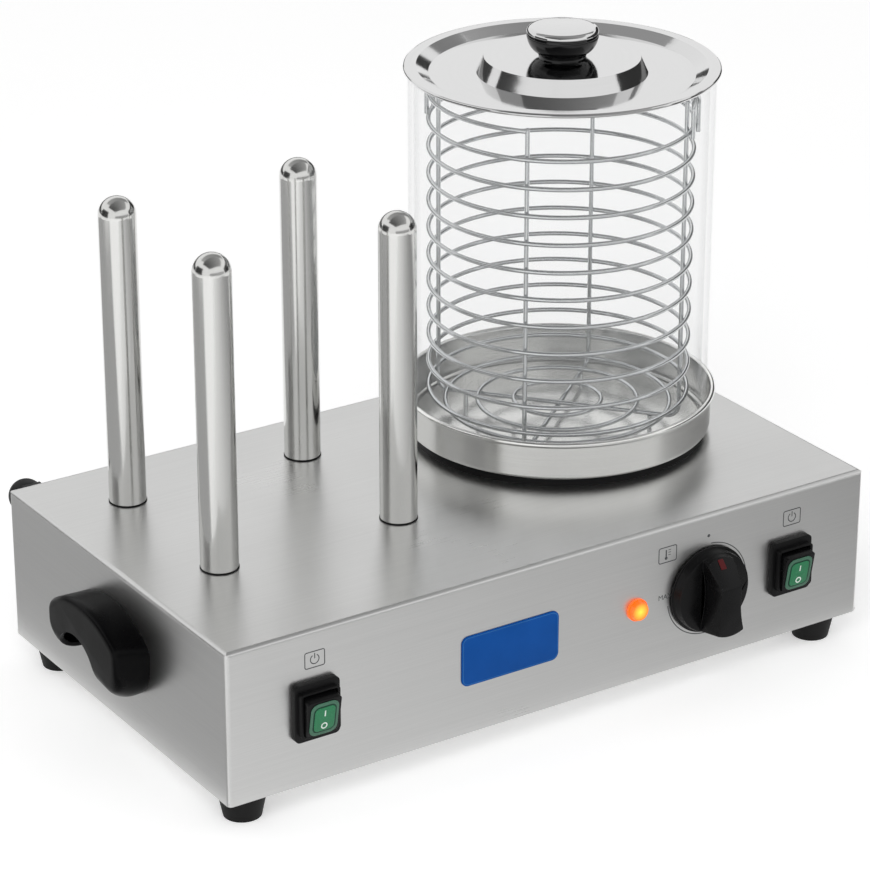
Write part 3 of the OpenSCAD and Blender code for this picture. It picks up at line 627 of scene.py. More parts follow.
def applied(piece: Piece, kind: str, **settings: object) -> Piece:
    """Adds one modifier with its settings and applies it.

    Args:
        piece: The object.
        kind: The modifier's type.
        settings: The modifier's own values.

    Returns:
        The same object, with its mesh changed.
    """
    only(piece)
    modifier = piece.modifiers.new(kind.title(), kind)
    for key, value in settings.items():
        setattr(modifier, key, value)
    bpy.ops.object.modifier_apply(modifier=modifier.name)
    return piece


def rounded(piece: Piece, edge: float, angle: float = SHARP_ANGLE, segments: int = 3,
            **settings: object) -> Piece:
    """Rounds edges that turn by more than an angle in degrees, to a radius in millimetres."""
    return applied(piece, "BEVEL", width=edge * MM, segments=segments, limit_method="ANGLE",
                   angle_limit=math.radians(angle), **settings)


def opened(piece: Piece) -> None:
    """Opens a piece for editing, with all of it selected.

    Args:
        piece: The object.
    """
    only(piece)
    bpy.ops.object.mode_set(mode="EDIT")
    bpy.ops.mesh.select_all(action="SELECT")


def faced_out(piece: Piece) -> Piece:
    """Turns all faces of a piece outwards.

    Args:
        piece: The object.

    Returns:
        The same object.
    """
    opened(piece)
    bpy.ops.mesh.normals_make_consistent(inside=False)
    bpy.ops.object.mode_set(mode="OBJECT")
    return piece


def smoothed(piece: Piece, angle: float = SMOOTH_ANGLE) -> Piece:
    """Shades a piece smooth, apart from its sharp edges.

    Args:
        piece: The object.
        angle: Degrees past which an edge stays sharp.

    Returns:
        The same object.
    """
    only(piece)
    bpy.ops.object.shade_smooth_by_angle(angle=math.radians(angle))
    return piece


def joined(name: str, parts: Sequence[Piece]) -> Piece:
    """Makes several objects one piece.

    Args:
        name: Name of the whole.
        parts: The objects, which become the first of them.

    Returns:
        The whole.
    """
    bpy.ops.object.select_all(action="DESELECT")
    for part in parts:
        part.select_set(True)
    bpy.context.view_layer.objects.active = parts[0]
    bpy.ops.object.join()
    return fresh(name)


def dressed(piece: Piece, material: bpy.types.Material, body: str, slot: str) -> Piece:
    """Gives a finished piece its material and its body.

    Args:
        piece: The piece, at its place.
        material: Its finish.
        body: The body that it moves with.
        slot: The material slot that it counts as; not used.

    Returns:
        The same piece.
    """
    piece.data.materials.clear()
    piece.data.materials.append(material)
    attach(piece, body)
    LOG.info("%s rides on %s with %d faces", piece.name, body, len(piece.data.polygons))
    return piece


def round_plate(name: str, width: float, height: float, corner: float, thickness: float,
                edge: float = 0.0, rim: float = 0.0) -> Piece:
    """A flat plate with round corners, lying on the XY plane and rising along Z, in millimetres.

    Args:
        name: Name of the piece.
        width: Size along X.
        height: Size along Y.
        corner: Radius of the corners.
        thickness: Size along Z.
        edge: Radius of its edges, or zero.
        rim: Where above zero, only a frame of this width is kept.

    Returns:
        The plate.
    """
    bpy.ops.mesh.primitive_plane_add(size=MM)
    piece = fresh(name)
    piece.scale = (width, height, 1)
    opened(settled(piece))
    bpy.ops.mesh.bevel(offset=corner * MM, segments=CORNER_STEPS, affect="VERTICES")
    if rim:
        bpy.ops.mesh.select_all(action="SELECT")
        bpy.ops.mesh.inset(thickness=rim * MM)
        bpy.ops.mesh.delete(type="FACE")
    bpy.ops.object.mode_set(mode="OBJECT")
    applied(piece, "SOLIDIFY", thickness=thickness * MM, offset=1)
    if edge:
        rounded(piece, edge)
    return smoothed(piece)


def disc(name: str, radius: float, thickness: float) -> Piece:
    """A small raised dot with a soft edge, on the XY plane, in millimetres.

    Args:
        name: Name of the piece.
        radius: Its radius.
        thickness: How far it stands up.

    Returns:
        The dot.
    """
    bpy.ops.mesh.primitive_circle_add(vertices=SIGN_STEPS, radius=radius * MM, fill_type="NGON")
    piece = fresh(name)
    applied(piece, "SOLIDIFY", thickness=thickness * MM, offset=1)
    return smoothed(rounded(piece, thickness / 3, segments=2))


def arc(name: str, radius: float, width: float, thickness: float, start: float, sweep: float,
        steps: int) -> Piece:
    """A raised line bent round the Z axis, in millimetres.

    Args:
        name: Name of the piece.
        radius: Radius at the middle of the line.
        width: Width of the line.
        thickness: How far it stands up.
        start: Angle of its first end from +X, in degrees.
        sweep: How far it goes round, in degrees.
        steps: Number of steps.

    Returns:
        The line.
    """
    turn = Matrix.Rotation(math.radians(start), 4, "Z")
    bpy.ops.mesh.primitive_plane_add(size=MM)
    piece = fresh(name)
    piece.scale = (width, thickness, 1)
    upright = Matrix.Rotation(math.radians(90), 4, "X")
    opened(settled(piece, turn @ shift(radius, 0, thickness / 2) @ upright))
    bpy.ops.mesh.spin(steps=steps, angle=math.radians(sweep), center=(0, 0, 0), axis=(0, 0, -1))
    bpy.ops.mesh.select_all(action="SELECT")
    bpy.ops.mesh.remove_doubles(threshold=WELD)
    bpy.ops.mesh.normals_make_consistent(inside=False)
    bpy.ops.object.mode_set(mode="OBJECT")
    return smoothed(piece)


def lettering(name: str, words: str, width: float, thickness: float) -> Piece:
    """Raised words, centred on the XY plane and made to a width, in millimetres.

    Args:
        name: Name of the piece.
        words: What it says.
        width: Size along X.
        thickness: How far it stands up.

    Returns:
        The words, as one mesh.
    """
    bpy.ops.object.text_add()
    piece = bpy.context.active_object
    piece.data.body = words
    piece.data.align_x = "CENTER"
    piece.data.align_y = "CENTER"
    piece.data.extrude = thickness / 2 * MM
    bpy.context.view_layer.update()
    factor = width * MM / piece.dimensions.x
    piece.data.extrude = thickness / 2 * MM / factor
    only(piece)
    bpy.ops.object.convert(target="MESH")
    piece = fresh(name)
    piece.scale = (factor, factor, factor)
    return settled(piece)


def lofted(name: str, rows: Sequence[Sequence[TRIPLE]], closed: bool = False) -> Piece:
    """A skin drawn through rings of points and filled at its last ring.

    Args:
        name: Name of the piece.
        rows: Rings of equally many points.
        closed: Whether the first ring is filled too.

    Returns:
        The piece.
    """
    count = len(rows[0])
    bpy.ops.mesh.primitive_circle_add(vertices=count, radius=1, fill_type="NOTHING")
    piece = fresh(name)
    opened(piece)
    for _ in rows[1:]:
        bpy.ops.mesh.extrude_region_move(TRANSFORM_OT_translate={"value": (0, 0, 1)})
    bpy.ops.mesh.edge_face_add()
    if closed:
        bpy.ops.mesh.select_all(action="SELECT")
        bpy.ops.mesh.fill_holes(sides=0)
    bpy.ops.object.mode_set(mode="OBJECT")
    for vertex in piece.data.vertices:
        turn = math.atan2(vertex.co.y, vertex.co.x) / math.tau
        vertex.co = rows[round(vertex.co.z)][round(turn * count) % count]
    return piece


def softened(node: str, name: str, edge: float) -> Piece:
    """A copy of a CAD node with its sharp edges rounded, which stands for it.

    Args:
        node: The CAD node.
        name: Name of the copy.
        edge: Radius of the rounded edges, in millimetres.

    Returns:
        The copy, which hides the node.
    """
    source = frame["nodes"][node]
    piece = bpy.data.objects.new(name, source.data.copy())
    bpy.context.scene.collection.objects.link(piece)
    opened(piece)
    bpy.ops.mesh.remove_doubles(threshold=CAD_WELD)
    bpy.ops.mesh.dissolve_limited(angle_limit=math.radians(FLAT_ANGLE))
    bpy.ops.object.mode_set(mode="OBJECT")
    smoothed(rounded(piece, edge, SMOOTH_ANGLE, use_clamp_overlap=True))
    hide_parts(node)
    return piece


@dataclass
class Panel:
    """The front face of the housing, on which places are given from its middle and lower edge."""

    face: float
    foot: float

    def place(self, x: float, z: float, out: float = 0.0) -> Matrix:
        """Where a piece goes whose Z points out of the front.

        Args:
            x: Millimetres to the right of the middle.
            z: Millimetres above the housing's lower edge.
            out: Millimetres out of the face.

        Returns:
            The matrix.
        """
        spot = Matrix.Translation((x * MM, self.face - out * MM, self.foot + z * MM))
        return spot @ Matrix.Rotation(math.radians(90), 4, "X")


@dataclass
class PanelPrint:
    """The bare name plate and the printed signs on the front, in millimetres."""

    panel: Panel
    palette: Palette
    plate_x: float = -38.2
    plate_z: float = 50.2
    plate_w: float = 72.5
    plate_h: float = 34.1
    plate_corner: float = 5.0
    plate_t: float = 0.8
    plate_edge: float = 0.3
    border_in: float = 0.8
    border_w: float = 0.5
    border_t: float = 0.12
    ink_t: float = 0.06
    line: float = 0.62
    icon_w: float = 14.4
    icon_h: float = 11.2
    icon_corner: float = 1.6
    ring_r: float = 3.0
    ring_start: float = 120.0
    ring_sweep: float = 300.0
    stroke_h: float = 3.6
    stroke_y: float = 2.25
    power_spots: tuple[PAIR, ...] = ((-179.1, 82.8), (181.7, 83.4))
    tube_w: float = 0.9
    tube_h: float = 5.0
    tube_spot: PAIR = (-1.2, 0.9)
    bulb_r: float = 1.1
    bulb_spot: PAIR = (-1.2, -2.4)
    mark_w: float = 2.0
    mark_h: float = 0.4
    mark_spots: tuple[PAIR, ...] = ((1.5, 3.0), (1.5, 1.3), (1.5, -0.4))
    heat_spot: PAIR = (82.0, 82.9)
    dot_r: float = 1.1
    dot_spot: PAIR = (114.3, 87.6)
    dial_spot: PAIR = (114.3, 50.5)
    scale_r: float = 31.4
    scale_start: float = 188.0
    scale_sweep: float = 258.0
    word_w: float = 10.4
    word_spot: PAIR = (80.8, 53.2)

    def plate(self) -> None:
        """The bare coloured plate with its thin raised border."""
        spot = self.panel.place(self.plate_x, self.plate_z)
        inset = self.border_in
        field = round_plate("name_plate", self.plate_w, self.plate_h, self.plate_corner,
                            self.plate_t, edge=self.plate_edge)
        dressed(settled(field, spot), self.palette["plate blue"], "base", "plate_blue")
        border = round_plate("name_plate_border", self.plate_w - 2 * inset,
                             self.plate_h - 2 * inset, self.plate_corner - inset, self.border_t,
                             rim=self.border_w)
        dressed(settled(border, self.panel.place(self.plate_x, self.plate_z, self.plate_t)),
                self.palette["plate border"], "base", "plate_blue")

    def printed(self, sign: Piece, spot: PAIR) -> None:
        """Puts a finished sign at its place on the front, in grey ink."""
        settled(sign, self.panel.place(*spot))
        dressed(sign, self.palette["grey ink"], "base", "print_grey")

    def bar(self, name: str, width: float, height: float, spot: PAIR) -> Piece:
        """One short printed stroke about a point of its icon."""
        stroke = round_plate(name, width, height, min(width, height) * STROKE_ROUND, self.ink_t)
        return settled(stroke, shift(*spot))

    def box(self) -> Piece:
        """The round-cornered frame about an icon."""
        return round_plate("icon_box", self.icon_w, self.icon_h, self.icon_corner, self.ink_t,
                           rim=self.line)

    def power_icon(self) -> Piece:
        """A broken ring with a stroke in its gap, in its frame.

        Returns:
            The icon as one piece, about the origin.
        """
        ring = arc("icon_ring", self.ring_r, self.line, self.ink_t, self.ring_start,
                   self.ring_sweep, SIGN_STEPS)
        stroke = self.bar("icon_stroke", self.line, self.stroke_h, (0, self.stroke_y))
        return joined("power_icon", [self.box(), ring, stroke])

    def heat_icon(self) -> Piece:
        """A small thermometer with three marks beside it, in its frame.

        Returns:
            The icon as one piece, about the origin.
        """
        parts = [self.box(), self.bar("icon_tube", self.tube_w, self.tube_h, self.tube_spot)]
        bulb = disc("icon_bulb", self.bulb_r, self.ink_t)
        parts.append(settled(bulb, shift(*self.bulb_spot)))
        parts += [self.bar("icon_mark", self.mark_w, self.mark_h, spot) for spot in self.mark_spots]
        return joined("heat_icon", parts)

    def build(self) -> None:
        """Makes the plate and all the printed signs."""
        self.plate()
        for number, spot in enumerate(self.power_spots):
            icon = self.power_icon()
            icon.name = f"power_icon_{number + 1}"
            self.printed(icon, spot)
        self.printed(self.heat_icon(), self.heat_spot)
        self.printed(disc("off_dot", self.dot_r, self.ink_t), self.dot_spot)
        scale = arc("dial_scale", self.scale_r, self.line, self.ink_t, self.scale_start,
                    self.scale_sweep, SCALE_STEPS)
        self.printed(scale, self.dial_spot)
        self.printed(lettering("dial_word", "MAX", self.word_w, self.ink_t), self.word_spot)


@dataclass
class RockerFace:
    """One rocker with its lens, raised panel and signs, in millimetres from its pivot."""

    side: str
    palette: Palette
    tilt: float = 10.0
    face_out: float = 8.1
    block_edge: float = 0.8
    lens_h: float = 23.1
    lens_corner: float = 5.0
    lens_t: float = 0.8
    lens_edge: float = 0.35
    lens_drop: float = 0.7
    panel_w: float = 14.2
    panel_h: float = 17.0
    panel_corner: float = 3.0
    panel_t: float = 0.35
    panel_edge: float = 0.15
    groove_w: float = 0.9
    groove_t: float = 0.06
    sign_y: float = 4.5
    sign_drop: float = 0.5
    sign_h: float = 4.2
    sign_line: float = 0.85
    sign_t: float = 0.05
    off_share: float = 0.44

    def build(self) -> None:
        """Makes the softened block and lens, the groove's painted shade, the panel and the two signs."""
        body = f"{self.side}_switch"
        joint = next(j for j in frame["joints"] if j["child"] == body)
        turn = Matrix.Rotation(math.radians(90 + self.tilt), 4, "X")
        place = Matrix.Translation(joint["pos_m"]) @ turn @ shift(0, -self.lens_drop, self.face_out)
        block = softened(f"{self.side}_rocker", f"{self.side}_rocker_block", self.block_edge)
        dressed(block, self.palette["knob_plastic"], body, "black_plastic")
        low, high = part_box(f"{self.side}_lens")
        lens = round_plate(f"{self.side}_rocker_lens", (high.x - low.x) / MM, self.lens_h,
                           self.lens_corner, self.lens_t, edge=self.lens_edge)
        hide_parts(f"{self.side}_lens")
        dressed(settled(lens, place @ shift(0, 0, -self.lens_t)), self.palette["rocker border"],
                body, "rocker_green")
        # Painted shade: a thin dark ring round the panel stands in for the shade in the groove.
        groove = round_plate(f"{self.side}_rocker_groove_shade", self.panel_w + 2 * self.groove_w,
                             self.panel_h + 2 * self.groove_w, self.panel_corner + self.groove_w,
                             self.groove_t, rim=self.groove_w)
        dressed(settled(groove, place), self.palette["rocker groove shade"], body, "rocker_green")
        panel = round_plate(f"{self.side}_rocker_panel", self.panel_w, self.panel_h,
                            self.panel_corner, self.panel_t, edge=self.panel_edge)
        dressed(settled(panel, place), self.palette["rocker panel"], body, "rocker_green")
        on = round_plate("on_sign", self.sign_line, self.sign_h, self.sign_line * STROKE_ROUND,
                         self.sign_t)
        off = arc("off_sign", self.sign_h * self.off_share, self.sign_line, self.sign_t, 0, 360,
                  SIGN_STEPS)
        for sign, height in ((on, self.sign_y), (off, -self.sign_y)):
            settled(sign, shift(0, height - self.sign_drop, self.panel_t))
        signs = settled(joined(f"{self.side}_rocker_signs", [on, off]), place)
        dressed(signs, self.palette["white ink"], body, "print_white")


@dataclass
class Handle:
    """A hollow moulded handle, drawn out from its wall side to its face, in millimetres.

    Distances along the wall start at the middle of the solid that it stands for, and heights at
    that solid's lower edge.
    """

    side: str
    palette: Palette
    out: float = 23.0
    middle: float = -1.2
    half: float = 47.0
    half_face: float = 44.0
    crown: float = 45.8
    crown_face: float = 46.5
    crown_r: float = 72.0
    shoulder_r: float = 10.0
    low: float = -9.0
    low_rise: float = 18.0
    rear_lift: float = 7.0
    low_r: float = 26.0
    low_face_r: float = 15.0
    edge_r: float = 4.5
    wall: float = 3.0
    notch_x: float = 6.9
    notch_y: float = -3.4
    notch_r: float = 26.0
    boss_x: float = 33.0
    boss_y: float = 20.6
    boss_r: float = 5.5
    lip: float = 0.8
    lip_angle: float = 50.0
    low_step: int = 9
    shoulder_steps: int = 6
    crown_steps: int = 9
    depth_steps: int = 8
    edge_step: int = 15
    post_steps: int = 72

    def end(self, depth: float, inset: float, lift: float) -> list[PAIR]:
        """The outline of one end, from its lower side up to the crown, as if it stood on the right.

        Args:
            depth: Distance from the wall.
            inset: How far it is drawn in, for the round edge of the face.
            lift: How much higher than the lower edge this end starts.

        Returns:
            Points along the wall and upwards.
        """
        share = min(1.0, depth / (self.out - self.edge_r))
        bulge = 1 - math.sqrt(max(0.0, 1 - (depth / self.out) ** 2))
        half = self.half + (self.half_face - self.half) * share - inset
        low = self.low + self.low_rise * bulge + lift
        low_r = self.low_r + (self.low_face_r - self.low_r) * share - inset - lift / 2
        shoulder_r = self.shoulder_r - inset
        crown_r = self.crown_r - inset
        heart = self.crown + (self.crown_face - self.crown) * share - self.crown_r
        shoulder_x = half - shoulder_r
        shoulder_y = heart + math.sqrt((crown_r - shoulder_r) ** 2 - shoulder_x ** 2)
        lean = math.degrees(math.atan2(shoulder_y - heart, shoulder_x))
        turns = [(half - low_r, low + low_r, low_r, angle)
                 for angle in range(-90, 1, self.low_step)]
        turns += [(shoulder_x, shoulder_y, shoulder_r, lean * step / self.shoulder_steps)
                  for step in range(self.shoulder_steps + 1)]
        turns += [(0.0, heart, crown_r, lean + (90 - lean) * step / self.crown_steps)
                  for step in range(1, self.crown_steps)]
        return [(x + r * math.cos(math.radians(t)), y + r * math.sin(math.radians(t)))
                for x, y, r, t in turns]

    def outline(self, depth: float, inset: float) -> list[PAIR]:
        """The outline of one slice, from its rear end over the crown to its front end.

        Args:
            depth: Distance from the wall.
            inset: How far it is drawn in, for the round edge of the face.

        Returns:
            Points along the wall and upwards.
        """
        rear = self.end(depth, inset, self.rear_lift)
        front = [(-x, y) for x, y in reversed(self.end(depth, inset, 0.0))]
        return [(x + self.middle, y) for x, y in rear + front]

    def slices(self) -> list[tuple[float, list[PAIR]]]:
        """Distance from the wall and outline of every slice.

        Returns:
            Pairs of a distance and an outline, from the wall outwards.
        """
        bend = self.out - self.edge_r
        depths = [bend * step / self.depth_steps for step in range(self.depth_steps + 1)]
        rows = [(depth, self.outline(depth, 0.0)) for depth in depths]
        for turn in range(self.edge_step, 91, self.edge_step):
            angle = math.radians(turn)
            depth = bend + self.edge_r * math.sin(angle)
            rows.append((depth, self.outline(depth, self.edge_r * (1 - math.cos(angle)))))
        return rows

    def place(self) -> Matrix:
        """Leads the handle's own axes to its side of the housing.

        Returns:
            The matrix, from the handle's millimetres to the frame's metres.
        """
        shell_low, shell_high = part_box("housing_shell")
        low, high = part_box(f"handle_{self.side}")
        x, out = (shell_low.x, -1) if self.side == "left" else (shell_high.x, 1)
        turn = Matrix(((0, 0, out, 0), (1, 0, 0, 0), (0, 1, 0, 0), (0, 0, 0, 1)))
        return Matrix.Translation((x, (low.y + high.y) / 2, low.z)) @ turn @ Matrix.Scale(MM, 4)

    def skin(self) -> Piece:
        """The hollow skin, open towards the wall.

        Returns:
            The skin, at its place.
        """
        rows = [[(x, y, depth) for x, y in points] for depth, points in self.slices()]
        piece = lofted(f"handle_{self.side}_moulding", rows)
        piece.data.transform(self.place())
        return applied(faced_out(piece), "SOLIDIFY", thickness=self.wall * MM, offset=-1,
                       use_even_offset=True)

    def post(self, name: str, radius: float, height: float, spot: TRIPLE) -> Piece:
        """A round post that stands out from the wall.

        Args:
            name: Name of the post.
            radius: Its radius.
            height: Its length.
            spot: Its middle along the wall, upwards and outwards.

        Returns:
            The post, at its place.
        """
        bpy.ops.mesh.primitive_cylinder_add(vertices=self.post_steps, radius=radius, depth=height)
        piece = fresh(name)
        piece.data.transform(self.place() @ Matrix.Translation(spot))
        return faced_out(piece)

    def build(self) -> None:
        """Makes the handle with its finger notch and its two screw posts."""
        piece = self.skin()
        cutter = self.post("notch", self.notch_r, 3 * self.out, (self.notch_x, self.notch_y, 0.0))
        applied(piece, "BOOLEAN", object=cutter, operation="DIFFERENCE", solver="EXACT")
        bpy.data.objects.remove(cutter)
        rounded(piece, self.lip, self.lip_angle, segments=2, use_clamp_overlap=True)
        height = self.out - self.wall / 2
        spots = [(x, self.boss_y, height / 2) for x in (-self.boss_x, self.boss_x)]
        posts = [self.post("post", self.boss_r, height, spot) for spot in spots]
        piece = smoothed(joined(piece.name, [piece, *posts]))
        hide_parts(f"handle_{self.side}")
        dressed(piece, self.palette["handle_plastic"], "base", "black_plastic")


@dataclass
class LidKnob:
    """The lid's turned knob and its bright cap, as radii and heights above its foot."""

    palette: Palette
    steps: int = 96
    bore: tuple[PAIR, ...] = ((2.6, 13.0), (2.6, 0.0))
    bowl: tuple[PAIR, ...] = (
        (15.3, 0.0), (15.4, 0.9), (14.9, 1.5), (15.3, 2.1), (17.2, 3.2), (19.3, 4.9), (21.1, 7.2),
        (22.4, 10.0), (23.1, 12.8), (23.25, 14.6), (22.9, 15.4), (22.0, 15.7))
    cap: tuple[PAIR, ...] = (
        (22.0, 15.7), (22.9, 15.9), (23.25, 16.6), (23.0, 17.6), (22.3, 18.5), (21.2, 19.15),
        (19.8, 19.4))
    smooth: float = 40.0

    def turned(self, name: str, profile: Sequence[PAIR]) -> Piece:
        """A body turned about the knob's axis from its profile.

        Args:
            name: Name of the piece.
            profile: Radii and heights, in order along half the section.

        Returns:
            The body, at its place.
        """
        low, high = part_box("lid_knob")
        turns = [math.tau * step / self.steps for step in range(self.steps)]
        rows = [[(r * math.cos(turn), r * math.sin(turn), z) for turn in turns] for r, z in profile]
        piece = lofted(name, rows, closed=True)
        foot = Matrix.Translation(((low.x + high.x) / 2, (low.y + high.y) / 2, low.z))
        piece.data.transform(foot @ Matrix.Scale(MM, 4))
        return smoothed(faced_out(piece), self.smooth)

    def build(self) -> None:
        """Makes the bowl with its screw bore, and the cap on it."""
        bowl = self.turned("lid_knob_bowl", self.bore + self.bowl)
        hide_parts("lid_knob")
        dressed(bowl, self.palette["gloss_plastic"], "lid", "black_plastic")
        cap = self.turned("lid_knob_disc", self.cap)
        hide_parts("lid_knob_cap")
        dressed(cap, self.palette["lid_steel"], "lid", "lid_steel")


@dataclass
class Pointer:
    """The dial's red mark on the slope of its grip, in millimetres."""

    palette: Palette
    width: float = 4.2
    length: float = 7.0
    corner: float = 0.5
    thick: float = 0.4
    edge: float = 0.12
    lean: float = 42.0

    def build(self) -> None:
        """Makes the mark at the outer end of the solid's mark."""
        low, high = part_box("knob_marker")
        lean = math.radians(self.lean)
        piece = round_plate("dial_pointer", self.width, self.length, self.corner, self.thick,
                            edge=self.edge)
        end = ((low.x + high.x) / 2, high.y, high.z - self.thick * MM * math.sin(lean))
        turn = Matrix.Rotation(math.pi / 2 - lean, 4, "X")
        settled(piece, Matrix.Translation(end) @ turn @ shift(0, -self.length / 2))
        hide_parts("knob_marker")
        dressed(piece, self.palette["marker_red"], "dial", "marker_red")


@dataclass(frozen=True)
class Softening:
    """A CAD node whose edges are rounded for the looks."""

    node: str
    finish: str
    body: str
    edge: float


@dataclass
class Dressing:
    """Gives every CAD node its material, and rounds the edges of the moulded ones."""

    palette: Palette
    softenings: tuple[Softening, ...]

    def build(self) -> None:
        """Dresses all nodes and makes the softened copies."""
        slots = {row["node"]: row["material_slot"] for row in frame["record"]["subparts"]}
        for node, thing in frame["nodes"].items():
            material = self.palette[slots[node]]
            if not thing.material_slots:
                thing.data.materials.append(material)
            for place in thing.material_slots:
                place.material = material
        for row in self.softenings:
            piece = softened(row.node, f"{row.node}_soft", row.edge)
            dressed(piece, self.palette[row.finish], row.body, slots[row.node])


@dataclass(frozen=True)
class Card:
    """A shaded card that only reflections see, in metres and degrees, with its end tones."""

    name: str
    spot: TRIPLE
    size: PAIR
    turn: TRIPLE
    tone: int
    far_tone: int


FACE_UP, FACE_DOWN, UPRIGHT, END_ON = (0, 0, 0), (180, 0, 0), (90, 0, 0), (90, 90, 90)
CARDS = (
    Card("front_card", (0.1, -0.76, 0.002), (1.2, 1.2), FACE_UP, 0xFFFFFF, 0x808080),
    Card("side_card", (-0.65, 0.44, 0.002), (0.78, 1.14), FACE_UP, 0xB0B0B0, 0xB0B0B0),
    Card("left_card", (-2.6, 1.2, 0.8), (1.5, 2.8), END_ON, 0x383838, 0x383838),
    Card("right_card", (2.8, 0.0, 0.8), (1.5, 5.0), END_ON, 0x303030, 0x303030),
    Card("front_strip", (0.0, -2.8, 0.45), (5.0, 0.8), UPRIGHT, 0xA4A4A4, 0xB0B0B0),
    Card("back_strip", (0.0, 3.0, 0.45), (5.6, 0.8), UPRIGHT, 0x383838, 0x484848),
    Card("ceiling_card", (-0.2, -0.9, 2.6), (4.4, 3.2), FACE_DOWN, 0x303030, 0xB0B0B0),
    Card("rear_ceiling_card", (1.0, 1.55, 2.6), (5.2, 1.7), FACE_DOWN, 0xB0B0B0, 0x808080),
)


@dataclass
class Studio:
    """The floor, the cards, the lights and the camera, in metres."""

    cards: tuple[Card, ...] = CARDS
    floor_size: float = 9.0
    floor_tone: int = 0xF4F4F4
    floor_roughness: float = 0.9
    floor_shine: float = 0.1
    floor_glow: float = 0.36
    floor_mottle: float = 3.0
    floor_bright: float = 1.02
    ambient: float = 0.62
    key_power: float = 26.0
    key_size: float = 1.6
    key_spot: TRIPLE = (-1.5, -1.7, 2.1)
    camera_spot: TRIPLE = (-1.1401, -1.73308, 1.0669)
    camera_azimuth: float = -33.23
    camera_elevation: float = 23.74
    focal: float = 145.8
    sensor: float = 36.0

    def floor(self) -> None:
        """A pale floor that keeps the object's shadow and is white elsewhere."""
        bpy.ops.mesh.primitive_plane_add(size=self.floor_size)
        ground = fresh("floor")
        recipe = Recipe("pale floor")
        recipe.set(Roughness=self.floor_roughness, Specular_IOR_Level=self.floor_shine)
        mottle = recipe.noise(recipe.space(), self.floor_mottle)
        tone = linear(self.floor_tone)
        recipe.wire(recipe.blend(mottle, tone, scaled(tone, self.floor_bright)), "Base Color")
        recipe.set(Emission_Color=(1, 1, 1, 1))
        recipe.wire(recipe.math("MULTIPLY", recipe.seen(), self.floor_glow), "Emission Strength")
        ground.data.materials.append(recipe.material)

    def hang(self, card: Card) -> None:
        """Hangs one card, shaded from left to right.

        Args:
            card: The card.
        """
        turn = [math.radians(angle) for angle in card.turn]
        bpy.ops.mesh.primitive_plane_add(size=1, location=card.spot, rotation=turn)
        sheet = fresh(card.name)
        sheet.scale = (*card.size, 1)
        settled(sheet)
        recipe = Recipe(card.name)
        recipe.set(Base_Color=(0, 0, 0, 1), Roughness=1.0, Emission_Strength=1.0)
        place = recipe.nodes.new("ShaderNodeSeparateXYZ")
        recipe.links.new(recipe.space(centre=card.spot), place.inputs[0])
        across = recipe.remap(place.outputs["X"], 0, 1, -card.size[0] / 2, card.size[0] / 2)
        tone = recipe.blend(across, linear(card.tone), linear(card.far_tone))
        recipe.wire(tone, "Emission Color")
        sheet.data.materials.append(recipe.material)
        for ray in ("camera", "diffuse", "shadow", "transmission"):
            setattr(sheet, f"visible_{ray}", False)

    def world(self) -> None:
        """A white background for the eye and for reflections, and a softer one for light."""
        scene = bpy.context.scene
        scene.view_settings.view_transform = "Standard"
        world = bpy.data.worlds.new("studio")
        world.use_nodes = True
        scene.world = world
        graph = Graph(world.node_tree)
        back = graph.nodes["Background"]
        back.inputs["Color"].default_value = (1, 1, 1, 1)
        strength = graph.remap(graph.seen(), self.ambient, 1.0)
        graph.links.new(strength, back.inputs["Strength"])

    def key(self) -> None:
        """One large soft lamp from the front left."""
        light = bpy.data.lights.new("key", "AREA")
        light.energy = self.key_power
        light.size = self.key_size
        lamp = bpy.data.objects.new("key", light)
        lamp.location = self.key_spot
        lamp.visible_glossy = False
        lamp.rotation_euler = (-Vector(self.key_spot)).to_track_quat("-Z", "Y").to_euler()
        bpy.context.scene.collection.objects.link(lamp)

    def camera(self) -> None:
        """The camera at the photograph's viewing angle."""
        data = bpy.data.cameras.new("camera")
        data.lens = self.focal
        data.sensor_width = self.sensor
        camera = bpy.data.objects.new("camera", data)
        camera.location = self.camera_spot
        camera.rotation_euler = (math.radians(90 - self.camera_elevation), 0,
                                 math.radians(self.camera_azimuth))
        bpy.context.scene.collection.objects.link(camera)
        bpy.context.scene.camera = camera

    def build(self) -> None:
        """Sets up the whole studio."""
        self.camera()
        self.world()
        self.key()
        self.floor()
        for card in self.cards:
            self.hang(card)


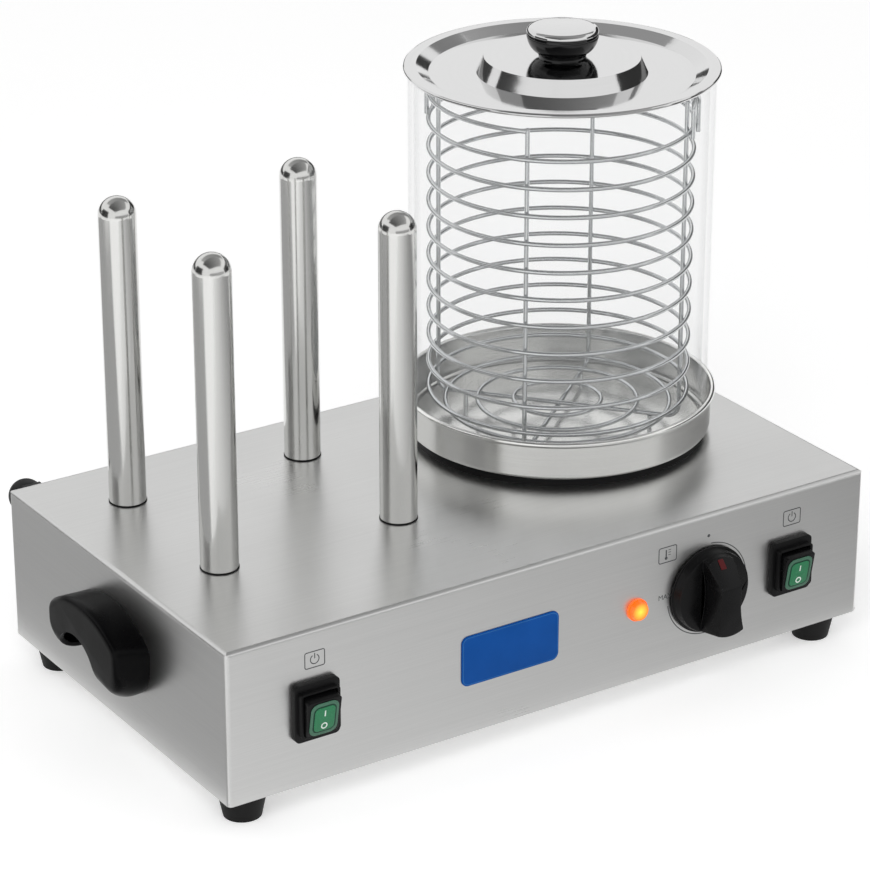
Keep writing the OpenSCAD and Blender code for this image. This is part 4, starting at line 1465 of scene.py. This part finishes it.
def palette() -> Palette:
    """Every finish of the object, by its name.

    Returns:
        The palette.
    """
    pan_low, pan_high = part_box("water_pan")
    axis = tuple((pan_low + pan_high) / 2)
    lens_low, lens_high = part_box("pilot_lens")
    lens = tuple((lens_low + lens_high) / 2)
    return Palette([
        Metal("steel", 0xD5D5D4, 0.3, Grain.FOLDED, clouding=0.04, depth=0.12),
        Metal("spike_steel", 0xD6D6D4, 0.16, Grain.LENGTH, streaks=0.03, depth=0.05),
        Metal("pan_steel", 0xF0F0EE, 0.22, Grain.TURNED, centre=axis),
        Metal("lid_steel", 0xD8D8D8, 0.09, Grain.TURNED, streaks=0.02, clouding=0.03, depth=0.04,
              centre=axis),
        Metal("basket_wire", 0xD2D4D5, 0.18, Grain.LENGTH, streaks=0.03, depth=0.03),
        Metal("zinc", 0xB9BDC0, 0.35, Grain.LENGTH, streaks=0.08, clouding=0.1),
        Metal("cast_alloy", 0x9A9A9A, 0.5, Grain.TURNED, streaks=0.1, clouding=0.08, depth=0.3,
              centre=axis),
        Metal("sheath", 0x5A5652, 0.5, Grain.LENGTH, streaks=0.15, clouding=0.1),
        Metal("brass", 0xC8A860, 0.3, Grain.LENGTH),
        Metal("copper", 0xB87A50, 0.32, Grain.LENGTH, streaks=0.1),
        Moulded("black_plastic", 0x0C0C0D, 0.4),
        Moulded("knob_plastic", 0x0A0A0B, 0.28, depth=0.05),
        Moulded("gloss_plastic", 0x060607, 0.1, depth=0.02, shine=0.5),
        # The handle's paler end-face colour is painted light.
        Faced("handle_plastic", 0x050506, 0x212121),
        Moulded("rubber", 0x141414, 0.6, pebble=900, depth=0.2),
        Moulded("seal", 0x0E0E0F, 0.5),
        Moulded("stat_plastic", 0xD2C7A8, 0.5),
        Moulded("marker_red", 0x541417, 0.45),
        Moulded("rocker_green", 0x45735C, 0.3, coat=0.2),
        Moulded("rocker border", 0x48745E, 0.3, coat=0.2, dust=0.15),
        # Painted shade for the groove round the rocker panel.
        Moulded("rocker groove shade", 0x164030, 0.4),
        Moulded("rocker panel", 0x2A7F54, 0.25, coat=0.25, dust=0.12),
        Moulded("white ink", 0xE8F4EC, 0.5, dust=0.05),
        Moulded("grey ink", 0x4E5052, 0.6, dust=0.15),
        Moulded("plate blue", 0x0A50A0, 0.4, pebble=700, depth=0.06, dust=0.1, shine=0.08),
        Moulded("plate border", 0x2F6CAE, 0.4, shine=0.08),
        Clear("glass", 0xE4E7E8, 0.04),
        Lit("pilot_amber", 0xFFCC38, 0xE05A08, lens, 6.8 * MM, 1.0),
    ])


FITTINGS = ("left_switch_frame", "right_switch_frame", "cable_gland", "gland_cap")
SOFTENINGS = (
    Softening("control_knob", "knob_plastic", "dial", 0.5),
    *(Softening(node, "black_plastic", "base", 0.4) for node in FITTINGS),
    Softening("glass_cylinder", "glass", "glass", 0.8),
)


def main() -> None:
    """Builds the studio, dresses the nodes and adds the pieces that only the looks need."""
    logging.basicConfig(level=logging.INFO, format="%(message)s")
    Studio().build()
    finishes = palette()
    Dressing(finishes, SOFTENINGS).build()
    shell_low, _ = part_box("housing_shell")
    panel = Panel(face=shell_low.y, foot=shell_low.z)
    PanelPrint(panel, finishes).build()
    for side in ("left", "right"):
        RockerFace(side, finishes).build()
        Handle(side, finishes).build()
    LidKnob(finishes).build()
    Pointer(finishes).build()


if __name__ == "__main__":
    main()
